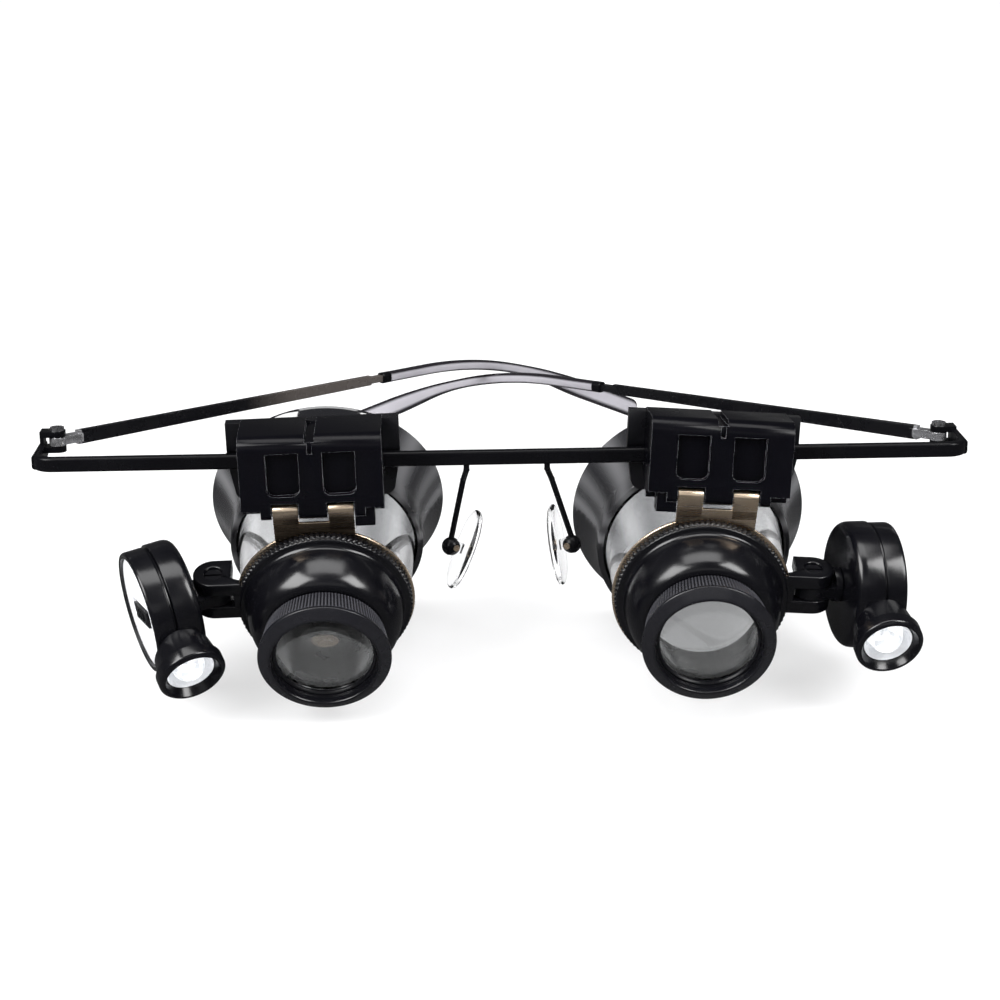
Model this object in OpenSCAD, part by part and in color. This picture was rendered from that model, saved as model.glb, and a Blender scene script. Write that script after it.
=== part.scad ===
// Magnifying spectacles for fine bench work: a slim brow bar with folded temples carries two
// flip-up loupes, and each loupe carries a small swivelling lamp with its own cell case.
// They stand on a table with the temples folded. +Z is up, -Y is the side of the objective
// lenses, and the origin is under the middle of the footprint.

/* [Brow bar] */
// Length of the brow bar over its bent ends
bar_w = 143; // [138:1:150]
// Height of the bar's section
bar_h = 2.3; // [1.8:0.1:2.6]
// Depth of the bar's section
bar_d = 1.5; // [1.2:0.1:1.8]
// Height of the bar above the table
bar_lift = 36.2; // [34:0.05:38]
// Backward lean of the whole frame
lean = 10; // [5:0.5:14]
// Radius of the bends at the bar's ends
bend_r = 2.6; // [2:0.1:3.5]
// Distance from the bar back to the temple hinges
hinge_back = 8.6; // [7.5:0.1:11]

/* [Temples] */
// Distance of each temple hinge in from the bar's end
hinge_in = 3; // [2.6:0.1:4]
// Angle of the left temple to the bar
left_fold = 41.3; // [40:0.1:43]
// Angle of the right temple to the bar
right_fold = 40.9; // [40:0.1:43]
// Height of the left temple's hinge above the bar's middle
left_hinge_up = 1.5; // [1.4:0.1:1.7]
// Height of the right temple's hinge above the bar's middle
right_hinge_up = 0; // [-0.3:0.1:0.1]
// Sag of the left temple along its length
left_sag = 0.8; // [0.6:0.1:1]
// Sag of the right temple along its length
right_sag = 1.4; // [1.2:0.1:1.8]
// Length of the flat metal blade of a temple
blade_len = 63; // [58:1:66]
// Height of the blade at its hinge
blade_h = 2.2; // [1.8:0.1:2.6]
// Height of the blade where its wire core starts
blade_end_h = 1.6; // [1.4:0.1:2]
// Thickness of the blade
blade_t = 1; // [0.8:0.1:1.4]
// Diameter of the wire core in the ear tip
core_d = 1.1; // [0.9:0.1:1.3]
// Length of bare wire between the blade and the ear tip
bare_wire = 3; // [1:0.5:4]
// Whole length of a temple along its middle line
temple_len = 132; // [128:1:136]
// Angle of the ear bend
ear_bend = 22.7; // [20:0.1:24]
// Where the ear bend starts
bend_start = 75.7; // [73:0.1:78]
// Radius of the ear bend
ear_bend_r = 80; // [70:1:90]
// Height of the ear tip at its start
tip_h = 1.8; // [1.6:0.1:2]
// Height of the paddle at the end of the ear tip
paddle_h = 3.4; // [2.6:0.1:3.6]
// Thickness of the ear tip
tip_t = 2; // [1.6:0.1:2.4]

/* [Clips] */
// Distance of the left clip from the bar's middle
left_clip_x = 28.7; // [27:0.1:34]
// Distance of the right clip from the bar's middle
right_clip_x = 32.2; // [27:0.1:34]
// Roll of the left clip on the bar, outer end down
left_clip_roll = 1.5; // [0:0.1:4]
// Roll of the right clip on the bar, outer end down
right_clip_roll = 3.9; // [0:0.1:4.5]
// Pitch of the left clip, front down
left_clip_pitch = 2.8; // [-3:0.1:4]
// Pitch of the right clip, front down
right_clip_pitch = -5; // [-5.5:0.1:4]
// Width of the clip's cover
cover_w = 21.3; // [20:0.1:23]
// Depth of the cover, from its front to the clamp plate
cover_d = 10.5; // [10:0.1:11]
// Height of the cover above the bar's middle
cover_top = 6.5; // [5.5:0.1:7.5]
// Radius of the cover's upper front edge
cover_r = 2.2; // [1.5:0.1:2.6]
// Width of the clamp plate over its ears
plate_w = 26.3; // [25:0.1:28]
// Thickness of the clamp plate
plate_t = 2.2; // [1.6:0.1:2.6]
// Reach of the plate's ears below the bar's middle
plate_drop = 6.3; // [5.5:0.1:6.8]
// Running gap between the bar and the clip
bar_gap = 0.15; // [0.1:0.01:0.25]

/* [Flip hinge] */
// Downward tilt of the loupes against their clips
flip = 19.5; // [17:0.5:21]
// Distance of the hinge pin in front of the bar
pin_front = 8.3; // [8:0.1:8.6]
// Distance of the hinge pin below the bar
pin_below = 5.1; // [4.8:0.1:5.4]
// Diameter of the hinge pin
pin_d = 1; // [0.8:0.1:1.2]
// Diameter of the curled knuckles
knuckle_d = 2.2; // [2:0.1:2.3]
// Width of one knuckle
knuckle_w = 3.8; // [3.4:0.1:4.2]
// Width of the bracket's tab over both knuckles
tab_w = 12.1; // [11.5:0.1:12.6]
// Distance from the hinge pin to the axis of the loupe
pin_up = 16.8; // [16.2:0.1:17.4]
// Thickness of the bracket's sheet
sheet_t = 0.5; // [0.4:0.1:0.9]
// Radius of the bracket's ring
sheet_r = 13.65; // [13.6:0.05:14.1]
// Sideways set of the loupe, towards the nose
loupe_inset = 0.8; // [0:0.1:1]

/* [Loupe] */
// Radius of the knurled flange
flange_r = 13.35; // [13:0.05:13.6]
// Thickness of the knurled flange
flange_t = 1.7; // [1.5:0.1:1.9]
// Radius of the dome where it leaves the flange
dome_r = 11.9; // [11.4:0.1:12.3]
// Length of the dome in front of the flange
dome_len = 6.9; // [6.6:0.1:7.4]
// Radius of the barrel's neck at the dome
neck_r = 9; // [8.8:0.1:9.2]
// Radius of the barrel's front rim
rim_r = 10; // [9.8:0.1:10.3]
// Distance of the front rim ahead of the flange
rim_ahead = 12.8; // [12.3:0.1:14]
// Radius of the opening in front of the objective lens
lens_open_r = 8; // [7.6:0.1:8.2]
// Recess of the lens ring behind the front rim
lens_recess = 1.3; // [1:0.1:1.6]
// Number of ribs on the barrel's grip band
grip_ribs = 72; // [48:4:90]
// Number of teeth round the flange
flange_teeth = 90; // [60:5:120]
// Radius of the clear tube at the bracket
tube_front_r = 12.9; // [12.5:0.1:13.1]
// Radius of the clear tube at the eyecup
tube_back_r = 14.2; // [13.8:0.1:14.4]
// Distance of the clear tube's back end behind the flange's front
tube_end = 19.8; // [18:0.1:20.5]
// Wall of the clear tube
tube_wall = 1.2; // [1:0.1:1.5]
// Radius of the eyecup's rim
eyecup_r = 18.7; // [18:0.1:19]
// Distance of the eyecup's rim behind the flange's front
eyecup_back = 26.8; // [26:0.1:28]
// Wall of the eyecup
eyecup_wall = 1.2; // [1:0.1:1.5]

/* [Lamps] */
// Distance of the lamp's pivot from the loupe's axis
clevis_x = 16.9; // [16.6:0.1:17.5]
// Distance of the pivot behind the flange's front
clevis_back = 3.4; // [3.2:0.1:3.8]
// Height of the pivot above the axis of the loupe
clevis_up = 1.5; // [0:0.1:1.8]
// Height of the clevis
clevis_h = 6.6; // [6:0.1:7]
// Depth of the clevis
clevis_d = 6.2; // [5.6:0.1:6.4]
// Height of the slot between the clevis ears
clevis_slot = 2.2; // [2:0.1:2.6]
// Diameter of the pivot screw
pivot_d = 1.8; // [1.4:0.1:2]
// Distance from the pivot to the seam of the cell case
arm_len = 8.7; // [8.6:0.1:9.6]
// Outward turn of the left lamp
left_lamp_yaw = -22.5; // [-24:0.5:5]
// Outward turn of the right lamp
right_lamp_yaw = 8; // [-20:0.5:10]
// Downward tilt of the left lamp
left_lamp_pitch = 12; // [0:1:20]
// Downward tilt of the right lamp
right_lamp_pitch = 9; // [0:1:20]
// Radius of the cell case
case_r = 9.7; // [9.3:0.1:9.9]
// Thickness of the inner half of the case
case_in = 4.2; // [4:0.1:4.4]
// Thickness of the outer half of the case
case_out = 3.6; // [3.4:0.1:4]
// Wall of the case
case_wall = 1.1; // [0.9:0.1:1.3]
// Distance of the lamp's bell rim ahead of the case's middle
bell_ahead = 14.5; // [14:0.1:15.5]
// Radius of the bell rim
bell_r = 5.2; // [5:0.1:5.5]
// Radius of the lamp barrel's neck
barrel_r = 4.4; // [4:0.1:4.6]
// Diameter of the light-emitting diode
led_d = 5; // [4.5:0.1:5]

/* [Nose pads] */
// Distance of the left pad arm from the bar's middle
left_arm_x = 5.5; // [5:0.1:8]
// Distance of the right pad arm from the bar's middle
right_arm_x = 6.8; // [5:0.1:8]
// Diameter of the pad arm's wire
arm_d = 0.9; // [0.8:0.1:1.2]
// Drop of the pad knob below the bar
knob_drop = 15.3; // [14:0.1:16.5]
// Distance of the pad knob behind the bar
knob_back = 4; // [3:0.1:5]
// Outward offset of the left pad knob from its arm's root
left_knob_out = 2.5; // [1.5:0.1:3]
// Outward offset of the right pad knob from its arm's root
right_knob_out = 4; // [1.5:0.1:4.5]
// Diameter of the pad knob
knob_d = 2.9; // [2.6:0.1:3.2]
// Length of a nose pad
pad_len = 13; // [11:0.5:15]
// Width of a nose pad
pad_w = 6.5; // [6:0.5:8]
// Thickness of a nose pad
pad_t = 1.2; // [1:0.1:1.6]
// Rest angle of the left pad on its screw, lower end outwards
left_pad_tilt = 23; // [5:1:24]
// Rest angle of the right pad on its screw, lower end outwards
right_pad_tilt = 9; // [5:1:24]

/* [Hidden] */
$fn = 64;
L = -1;
R = 1;
// Small overlap that keeps cuts clean
eps = 0.02;
// Gap between pieces of one body that are seated in each other
seat = 0.05;
// Radial clearance of a pin that turns
run = 0.06;
// Side clearance between knuckles
side_gap = 0.15;
// Distance from the bar back to the middle of the footprint
footprint_back = 33.16;
hinge_x = bar_w / 2 - hinge_in;
tip_start = blade_len + bare_wire;
pin_back = flange_t + knuckle_d / 2;
ring_back = flange_t + sheet_t;

// Colours
black = [0.05, 0.05, 0.06];
gloss_black = [0.08, 0.08, 0.1];
gold = [0.86, 0.76, 0.6];
silver = [0.82, 0.83, 0.85];
smoke = [0.45, 0.45, 0.5];
clear = [0.8, 0.84, 0.88];
steel = [0.6, 0.6, 0.63];

function of_side(side, left, right) = side < 0 ? left : right;
function arc(cx, cy, r, a0, a1, n = 12) =
    [for (i = [0:n]) let (a = a0 + (a1 - a0) * i / n) [cx + r * cos(a), cy + r * sin(a)]];

// Poses: each works in the frame of the piece that carries the next one.
module frame_pose() {
    translate([0, -footprint_back, bar_lift]) rotate([-lean, 0, 0]) children();
}

// Inside this module x points outwards on both sides.
module handed(side) {
    if (side < 0) mirror([1, 0, 0]) children();
    else children();
}

function clip_pitch(side) = of_side(side, left_clip_pitch, right_clip_pitch);
function clip_roll(side) = of_side(side, left_clip_roll, right_clip_roll);

module clip_pose(side) {
    frame_pose()
        translate([side * of_side(side, left_clip_x, right_clip_x), 0, 0])
        rotate([clip_pitch(side), side * clip_roll(side), 0])
        handed(side) children();
}

// The origin is the middle of the flange's front face, y runs back along the loupe's axis.
module loupe_pose(side) {
    clip_pose(side)
        translate([0, -pin_front, -pin_below])
        rotate([flip, 0, 0])
        translate([-loupe_inset, -pin_back, -pin_up]) children();
}

module arm_pose(side) {
    loupe_pose(side)
        translate([clevis_x, clevis_back, clevis_up])
        rotate([0, 0, of_side(side, left_lamp_yaw, right_lamp_yaw)]) children();
}

// The origin is the middle of the case on its seam, x is the axis of the case.
module lamp_pose(side) {
    arm_pose(side)
        translate([arm_len, 0, 0])
        rotate([of_side(side, left_lamp_pitch, right_lamp_pitch), 0, 0]) children();
}

// Turns a solid of revolution about z so that its z runs along y, or along x.
module along_y() { rotate([-90, 0, 0]) children(); }
module along_x() { rotate([0, 90, 0]) children(); }

module rounded_rect(w, d, r) {
    square([w - 2 * r, d], center = true);
    square([w, d - 2 * r], center = true);
    for (x = [-1, 1], y = [-1, 1]) translate([x * (w / 2 - r), y * (d / 2 - r)]) circle(r, $fn = 24);
}

// A flat wheel of teeth, for knurls.
module toothed_disc(r, depth, teeth) {
    polygon([for (i = [0:teeth - 1], k = [0:3])
        let (a = 360 * (i + k / 4 + 0.125) / teeth, q = k < 2 ? r : r - depth) [q * cos(a), q * sin(a)]]);
}

// Brow bar, with its ends bent back into flat strips that carry the temple hinges.
bar_round = 0.5;
strip_t = 1.2;
lug_r = 1.3;
lug_gap = 0.12;
lug_t = 0.9;
lug_foot_t = 0.6;
blade_lug_h = 1.3;

function hinge_lift(side) = of_side(side, left_hinge_up, right_hinge_up);

module bar_section() { rounded_rect(bar_d, bar_h, bar_round); }

module front_bar() color(black) frame_pose() {
    straight = bar_w - 2 * (bend_r + bar_d / 2);
    rotate([90, 0, 90]) linear_extrude(straight, center = true) bar_section();
    for (side = [L, R]) handed(side) {
        translate([straight / 2, bend_r, 0]) rotate([0, 0, -90]) rotate_extrude(angle = 90)
            translate([bend_r, 0]) bar_section();
        translate([bar_w / 2 - bar_d / 2, (bend_r + hinge_back) / 2, 0]) difference() {
            rotate([90, 0, 0]) linear_extrude(hinge_back - bend_r + 2 * lug_r, center = true) bar_section();
            translate([-strip_t, 0, 0]) cube([bar_d, hinge_back, 2 * bar_h], center = true);
        }
        translate([hinge_x, hinge_back, hinge_lift(side)]) hinge_lugs();
    }
}

module hinge_lugs() {
    reach = bar_w / 2 - bar_d / 2 - hinge_x;
    for (k = [-1, 1]) translate([0, 0, k * (blade_lug_h / 2 + lug_gap + lug_t / 2)]) difference() {
        union() {
            cylinder(r = lug_r, h = lug_t, center = true);
            translate([reach / 2, 0, 0]) cube([reach, 2 * lug_r, lug_t], center = true);
        }
        cylinder(d = hinge_screw_d + 2 * seat, h = 2 * lug_t, center = true);
    }
    translate([reach, 0, 0])
        cube([lug_foot_t, 2 * lug_r, blade_lug_h + 2 * (lug_gap + lug_t)], center = true);
}

hinge_screw_d = 1.1;
screw_head_r = 1.1;
screw_head_h = 0.5;
head_slot_w = 0.3;
head_slot_d = 0.25;

module temple_screws() color(silver) for (side = [L, R]) frame_pose() handed(side) {
    top = blade_lug_h / 2 + lug_gap + lug_t;
    translate([hinge_x, hinge_back, hinge_lift(side)]) {
        translate([0, 0, -top]) cylinder(d = hinge_screw_d, h = 2 * top + eps);
        translate([0, 0, top]) difference() {
            cylinder(r = screw_head_r, h = screw_head_h);
            translate([-screw_head_r, -head_slot_w / 2, screw_head_h - head_slot_d])
                cube([2 * screw_head_r, head_slot_w, screw_head_h]);
        }
    }
}

// A temple lies in the plane of the frame's hinges and points inwards.
module temple_pose(side) {
    frame_pose() handed(side)
        translate([hinge_x, hinge_back, hinge_lift(side)])
        rotate([0, of_side(side, left_sag, right_sag), 180 - of_side(side, left_fold, right_fold)])
        rotate([90, 0, 0]) children();
}

// Middle line of the ear bend: a point and a direction at a distance u from the hinge.
bend_len = ear_bend_r * ear_bend * PI / 180;
function turn_at(u) = min(max(u - bend_start, 0), bend_len) * 180 / PI / ear_bend_r;
function point_at(u) =
    let (a = turn_at(u), before = min(u, bend_start), after = max(u - bend_start - bend_len, 0))
    [before + ear_bend_r * sin(a) + after * cos(a), -ear_bend_r * (1 - cos(a)) - after * sin(a)];
function beside(u, w) = let (a = turn_at(u), p = point_at(u)) [p[0] + w * sin(a), p[1] + w * cos(a)];

// Half height of the ear tip at a distance u: slim at first, a round paddle at the end.
slim_end = 97;
paddle_start = 117;
function tip_half(u) =
    let (slim = tip_h / 2, full = paddle_h / 2, end = temple_len - u,
        grow = min(max((u - slim_end) / (paddle_start - slim_end), 0), 1))
    (slim + (full - slim) * (1 - cos(180 * grow)) / 2)
        * (end < full ? sqrt(max(1 - pow(1 - end / full, 2), 0)) : 1);

core_end = 116;
module core_outline(half) {
    us = [for (i = [0:22]) blade_len - 1 + (core_end - blade_len + 1) * i / 22];
    polygon(concat([for (u = us) beside(u, half)], [for (i = [22:-1:0]) beside(us[i], -half)]));
}

module tip_outline() {
    n = 40;
    us = [for (i = [0:n]) tip_start + (temple_len - 0.05 - tip_start) * (1 - pow(1 - i / n, 1.6))];
    polygon(concat([for (u = us) beside(u, tip_half(u))],
        [for (i = [n:-1:0]) beside(us[i], -tip_half(us[i]))]));
}

root_len = 3.4;
root_w = 1.8;
root_lap = 1.2;
module temple(side) color(black) temple_pose(side) {
    root = lug_r + root_len;
    blade_start = root - root_lap;
    rotate([-90, 0, 0]) difference() {
        union() {
            cylinder(r = lug_r, h = blade_lug_h, center = true);
            translate([root / 2, 0, 0]) cube([root, root_w, blade_lug_h], center = true);
        }
        cylinder(d = hinge_screw_d + 2 * run, h = 2 * blade_lug_h, center = true);
    }
    linear_extrude(blade_t, center = true)
        polygon([[blade_start, -blade_h / 2], [blade_len, -blade_end_h / 2],
            [blade_len, blade_end_h / 2], [blade_start, blade_h / 2]]);
    linear_extrude(core_d, center = true) core_outline(core_d / 2);
}

module ear_tip(side) color(smoke) temple_pose(side) difference() {
    linear_extrude(tip_t, center = true) tip_outline();
    linear_extrude(core_d + 2 * seat, center = true) core_outline(core_d / 2 + seat);
}

// Nose pad arms: a wire from the bar's underside to a knob, inside which the pad's screw sits.
pad_turn = 20;
boss_d = 1.6;
boss_w = 1.1;
boss_x = -0.4;
nose_screw_d = 0.8;
nose_head_d = 1;
nose_head_at = 1.05;
nose_head_h = 0.4;
boss_gap = 0.1;
boss_over = 0.25;
wire_foot = 0.8;
wire_joint_d = arm_d + 0.08;
elbow_drop = 3;
elbow_back = 2.2;
knob_sink = 0.4;
pad_gap = 0.35;

function arm_x(side) = of_side(side, left_arm_x, right_arm_x);
function knob_out(side) = of_side(side, left_knob_out, right_knob_out);

module knob_pose(side) {
    frame_pose() handed(side)
        translate([arm_x(side) + knob_out(side), knob_back, -knob_drop]) children();
}

module wire(a, b) {
    d = b - a;
    translate(a) rotate([0, acos(d[2] / norm(d)), atan2(d[1], d[0])])
        cylinder(d = arm_d, h = norm(d), $fn = 24);
}

module nose_arm(side) color(black) {
    frame_pose() handed(side) {
        foot = [arm_x(side), 0, -bar_h / 2 - wire_foot];
        elbow = [arm_x(side) + knob_out(side) * elbow_drop / knob_drop, elbow_back, -bar_h / 2 - elbow_drop];
        end = [arm_x(side) + knob_out(side), knob_back, -knob_drop + knob_d / 2 - knob_sink];
        translate(foot) cylinder(d = arm_d, h = wire_foot, $fn = 24);
        wire(foot, elbow);
        wire(elbow, end);
        for (joint = [foot, elbow]) translate(joint) sphere(d = wire_joint_d, $fn = 24);
    }
    knob_pose(side) difference() {
        sphere(d = knob_d, $fn = 40);
        screw_turned() {
            translate([boss_d / 2 + 1.5 * boss_gap - knob_d, -boss_w / 2 - boss_gap, -knob_d])
                cube([knob_d, boss_w + 2 * boss_gap, knob_d + boss_d / 2 + boss_over]);
            rotate([90, 0, 0]) cylinder(d = nose_screw_d + 2 * seat, h = 2 * knob_d, center = true, $fn = 24);
            translate([0, -nose_head_at, 0]) rotate([90, 0, 0])
                cylinder(d = nose_head_d + 2 * seat, h = knob_d, $fn = 24);
        }
    }
}

// The pads face the nose and a little to the back; each one rocks on its screw.
module screw_turned() { rotate([0, 0, -pad_turn]) translate([boss_x, 0, 0]) children(); }

module nose_screws() color(gold) for (side = [L, R]) knob_pose(side) screw_turned() rotate([90, 0, 0]) {
    translate([0, 0, -nose_head_at]) cylinder(d = nose_screw_d, h = 2 * nose_head_at + eps, $fn = 24);
    translate([0, 0, nose_head_at]) cylinder(d = nose_head_d, h = nose_head_h, $fn = 24);
}

function pad_tilt(side) = of_side(side, left_pad_tilt, right_pad_tilt);

module nose_pad(side) color(clear) knob_pose(side) screw_turned() rotate([0, -pad_tilt(side), 0]) {
    face = knob_d / 2 + boss_x + pad_gap;
    difference() {
        union() {
            rotate([90, 0, 0]) cylinder(d = boss_d, h = boss_w, center = true, $fn = 24);
            translate([-face / 2, 0, 0]) cube([face, boss_w, boss_d], center = true);
        }
        rotate([90, 0, 0]) cylinder(d = nose_screw_d + 2 * run, h = 2 * knob_d, center = true, $fn = 24);
    }
    translate([-face - pad_t, 0, 0]) rotate([0, 90, 0]) linear_extrude(pad_t) pad_outline();
}

module pad_outline() {
    translate([(pad_len - pad_w) / 2, 0]) circle(d = pad_w, $fn = 48);
    translate([-(pad_len - pad_w) / 2, 0]) circle(d = pad_w, $fn = 48);
    square([pad_len - pad_w, pad_w], center = true);
}

// Clip: a moulded cover in front of the bar and a clamp plate behind it, held by two screws.
pin_len = 15.6;
lug_drop = 2.6;
lip_rise = 0.4;
cover_back = 1;
cover_front = cover_back - cover_d;
lip_r = 1.3;
crease_z = -3.6;
under_back_z = -2.5;
window_w = 4.9;
window_x = 4.2;
window_top = 4.1;
window_low = -2.6;
window_r = 1.2;
window_deep = 1.1;
notch_w = 1.5;
notch_deep = 0.9;
notch_drop = 2.6;
lip_back = 1.9;
lip_under = 0.9;
lip_room = 3.6;
lug_w = 1.4;
lug_back = 3.4;
lug_ahead = 0.5;
room_ahead = 3.5;
room_below = 4.6;
room_gap = 0.3;
slant = 17;
slant_w = 4;
slant_h = 6;
clip_screw_deep = 4.2;
clip_screw_x = 7.6;
clip_screw_z = 4.1;
clip_screw_d = 1.6;

// The bar's channel stays in line with the bar, whatever the clip's roll and pitch.
module bar_channel(side) {
    rotate([-clip_pitch(side), 0, 0])
        rotate([0, -clip_roll(side), 0])
        translate([0, bar_gap, 0])
        cube([2 * plate_w, bar_d + 4 * bar_gap, bar_h + 2 * bar_gap], center = true);
}

module cover_side() {
    polygon(concat(
        arc(cover_front + cover_r, cover_top - cover_r, cover_r, 180, 90),
        [[cover_back, cover_top], [cover_back, under_back_z], [lip_back - pin_front, -pin_below - lip_under]],
        arc(-pin_front, -pin_below, lip_r, -55, -180),
        [[cover_front, crease_z]]));
}

module knuckle_room() {
    reach = knuckle_d / 2 + room_gap;
    for (x = [-1, 1])
        translate([x * (tab_w - knuckle_w) / 2, -pin_front - room_ahead, -pin_below - room_below])
        translate([-knuckle_w / 2 - side_gap, 0, 0])
        cube([knuckle_w + 2 * side_gap, room_ahead + reach, room_below + reach]);
}

module window() {
    tall = window_top - window_low;
    rotate([90, 0, 0]) linear_extrude(2 * window_deep, center = true) {
        translate([-window_w / 2, window_low + window_r]) square([window_w, tall - window_r]);
        translate([-window_w / 2 + window_r, window_low]) square([window_w - 2 * window_r, tall]);
        for (x = [-1, 1]) translate([x * (window_w / 2 - window_r), window_low + window_r])
            circle(window_r, $fn = 24);
    }
}

module clip_cover(side) color(black) clip_pose(side) difference() {
    union() {
        difference() {
            rotate([90, 0, 90]) linear_extrude(cover_w, center = true) cover_side();
            for (x = [-1, 1]) translate([x * (pin_len / 2 + cover_w / 2), -pin_front, -pin_below - lip_r])
                cube([cover_w, lip_room, 2 * (lip_r + lip_rise)], center = true);
        }
        // Lug at the inner side of the knuckles, for the detent
        translate([-pin_len / 2 - lug_w, lug_ahead - pin_front - lip_r, -pin_below - lug_drop])
            cube([lug_w + pin_len / 2 - tab_w / 2 - side_gap, lug_back, lug_drop + lip_r]);
    }
    knuckle_room();
    bar_channel(side);
    for (x = [-1, 1]) {
        translate([x * window_x, cover_front, 0]) window();
        translate([x * clip_screw_x, 0, clip_screw_z]) along_y()
            translate([0, 0, -clip_screw_deep])
            cylinder(d = clip_screw_d + 2 * seat, h = 2 * clip_screw_deep);
        // Slanted lower corners of the lip
        translate([x * cover_w / 2, cover_front - 1, crease_z]) rotate([0, -x * slant, 0])
            translate([(x - 1) * slant_w / 2, 0, -slant_h]) cube([slant_w, slant_h, slant_h]);
    }
    translate([0, -pin_front, -pin_below]) along_x()
        cylinder(d = pin_d + 2 * seat, h = pin_len + 2 * seat, center = true);
    translate([-notch_w / 2, cover_front - 1, cover_top - notch_deep])
        cube([notch_w, cover_d + 2, 2 * notch_deep]);
    translate([-notch_w / 4, cover_front - 1, cover_top - notch_drop])
        cube([notch_w / 2, 1 + notch_w / 4, 2 * notch_drop]);
}

plate_below = 0.5;
plate_corner = 1.6;
plate_slant = 0.9;
module plate_outline() {
    top = cover_top - plate_below;
    corner = plate_corner;
    slant = plate_slant;
    polygon(concat(
        [[-plate_w / 2, top], [-plate_w / 2, 0]],
        arc(-plate_w / 2 + slant + corner, -plate_drop + corner, corner, 180, 270, 6),
        arc(plate_w / 2 - slant - corner, -plate_drop + corner, corner, 270, 360, 6),
        [[plate_w / 2, 0], [plate_w / 2, top]]));
}

// Arch under the plate that clears the loupe's tube, set from where the loupe's axis crosses the plate.
arch_gap = 0.5;
arch_r = tube_back_r + arch_gap;
axis_y = pin_up * sin(flip) - pin_back * cos(flip) - pin_front;
axis_z = -pin_up * cos(flip) - pin_back * sin(flip) - pin_below;
arch_z = axis_z + (cover_back + plate_t / 2 - axis_y) * tan(flip) + arch_gap;

module clip_plate(side) color(black) clip_pose(side) translate([0, cover_back, 0]) difference() {
    translate([0, plate_t, 0]) rotate([90, 0, 0]) linear_extrude(plate_t) plate_outline();
    translate([-loupe_inset, 0, arch_z]) along_y() cylinder(r = arch_r, h = 3 * plate_t, center = true);
    translate([0, -cover_back, 0]) bar_channel(side);
    for (x = [-1, 1]) translate([x * clip_screw_x, 0, clip_screw_z]) along_y()
        cylinder(d = clip_screw_d + 2 * seat, h = 3 * plate_t, center = true);
}

clip_head_r = 1.5;
clip_head_h = 0.8;
cross_w = 0.4;
module clip_screws(side) color(steel) clip_pose(side) for (x = [-1, 1])
    translate([x * clip_screw_x, cover_back + plate_t, clip_screw_z]) along_y() {
        in = plate_t + cover_back + clip_screw_deep - 2 * seat;
        translate([0, 0, -in]) cylinder(d = clip_screw_d, h = in + eps);
        difference() {
            cylinder(r = clip_head_r, h = clip_head_h);
            for (a = [0, 90]) rotate([0, 0, a]) translate([-clip_screw_d / 2, -cross_w / 2, clip_head_h / 2])
                cube([clip_screw_d, cross_w, clip_head_h]);
        }
    }

module hinge_pin(side) color(steel) clip_pose(side)
    translate([0, -pin_front, -pin_below]) along_x() cylinder(d = pin_d, h = pin_len, center = true);

tab_root = 9.8;
notch_below = 1.6;
// Bracket: a ring of sheet metal with a tab whose two ends are curled round the pin.
module hinge_bracket(side) color(gold) loupe_pose(side) translate([0, flange_t, 0]) difference() {
    union() {
        along_y() cylinder(r = sheet_r, h = sheet_t, $fn = 128);
        translate([loupe_inset - tab_w / 2, 0, tab_root]) cube([tab_w, sheet_t, pin_up - tab_root]);
        translate([loupe_inset, knuckle_d / 2, pin_up]) along_x()
            cylinder(d = knuckle_d, h = tab_w, center = true);
    }
    along_y() cylinder(r = spigot_r + seat, h = 4 * sheet_t, center = true, $fn = 128);
    translate([loupe_inset, knuckle_d / 2, pin_up]) along_x()
        cylinder(d = pin_d + 2 * run, h = 2 * tab_w, center = true);
    // Gap between the knuckles, for the middle lug of the cover
    translate([loupe_inset - tab_w / 2 + knuckle_w, -knuckle_d, pin_up - notch_below])
        cube([tab_w - 2 * knuckle_w, 3 * knuckle_d, 2 * notch_below]);
}

// Front ring: knurled flange, dome and the clevis of the lamp, in one moulding.
spigot_r = 10.5;
socket_deep = 1.5;
bore_r = 8.2;
tooth_deep = 0.22;
edge_back = 0.6;
edge_in = 0.25;
shoulder = 0.5;
step_ahead = 0.3;
step_len = 0.8;
dome_curve = 1.15;
clevis_root = 1.6;
ring_room = 0.15;
head_sink = 1.1;

module front_ring(side) color(gloss_black) loupe_pose(side) difference() {
    union() {
        translate([0, edge_back, 0]) along_y() linear_extrude(flange_t - edge_back)
            toothed_disc(flange_r, tooth_deep, flange_teeth);
        along_y() rotate_extrude($fn = 128) polygon(concat(
            [[0, edge_back + eps], [flange_r - edge_in, edge_back + eps], [flange_r - edge_in, edge_in],
                [flange_r - 2 * edge_in, 0], [dome_r + shoulder, 0],
                [dome_r, -step_ahead], [dome_r, -step_len]],
            [for (i = [1:12]) let (a = 90 * i / 12) [neck_r + (dome_r - neck_r) * cos(a),
                -step_len - (dome_len - step_len) * pow(sin(a), dome_curve)]],
            [[0, -dome_len]]));
        clevis();
    }
    translate([0, -dome_len - 1, 0]) along_y() cylinder(r = bore_r, h = dome_len + 3, $fn = 96);
    translate([0, flange_t - socket_deep, 0]) along_y()
        cylinder(r = spigot_r + seat, h = 2 * socket_deep, $fn = 96);
}

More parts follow.
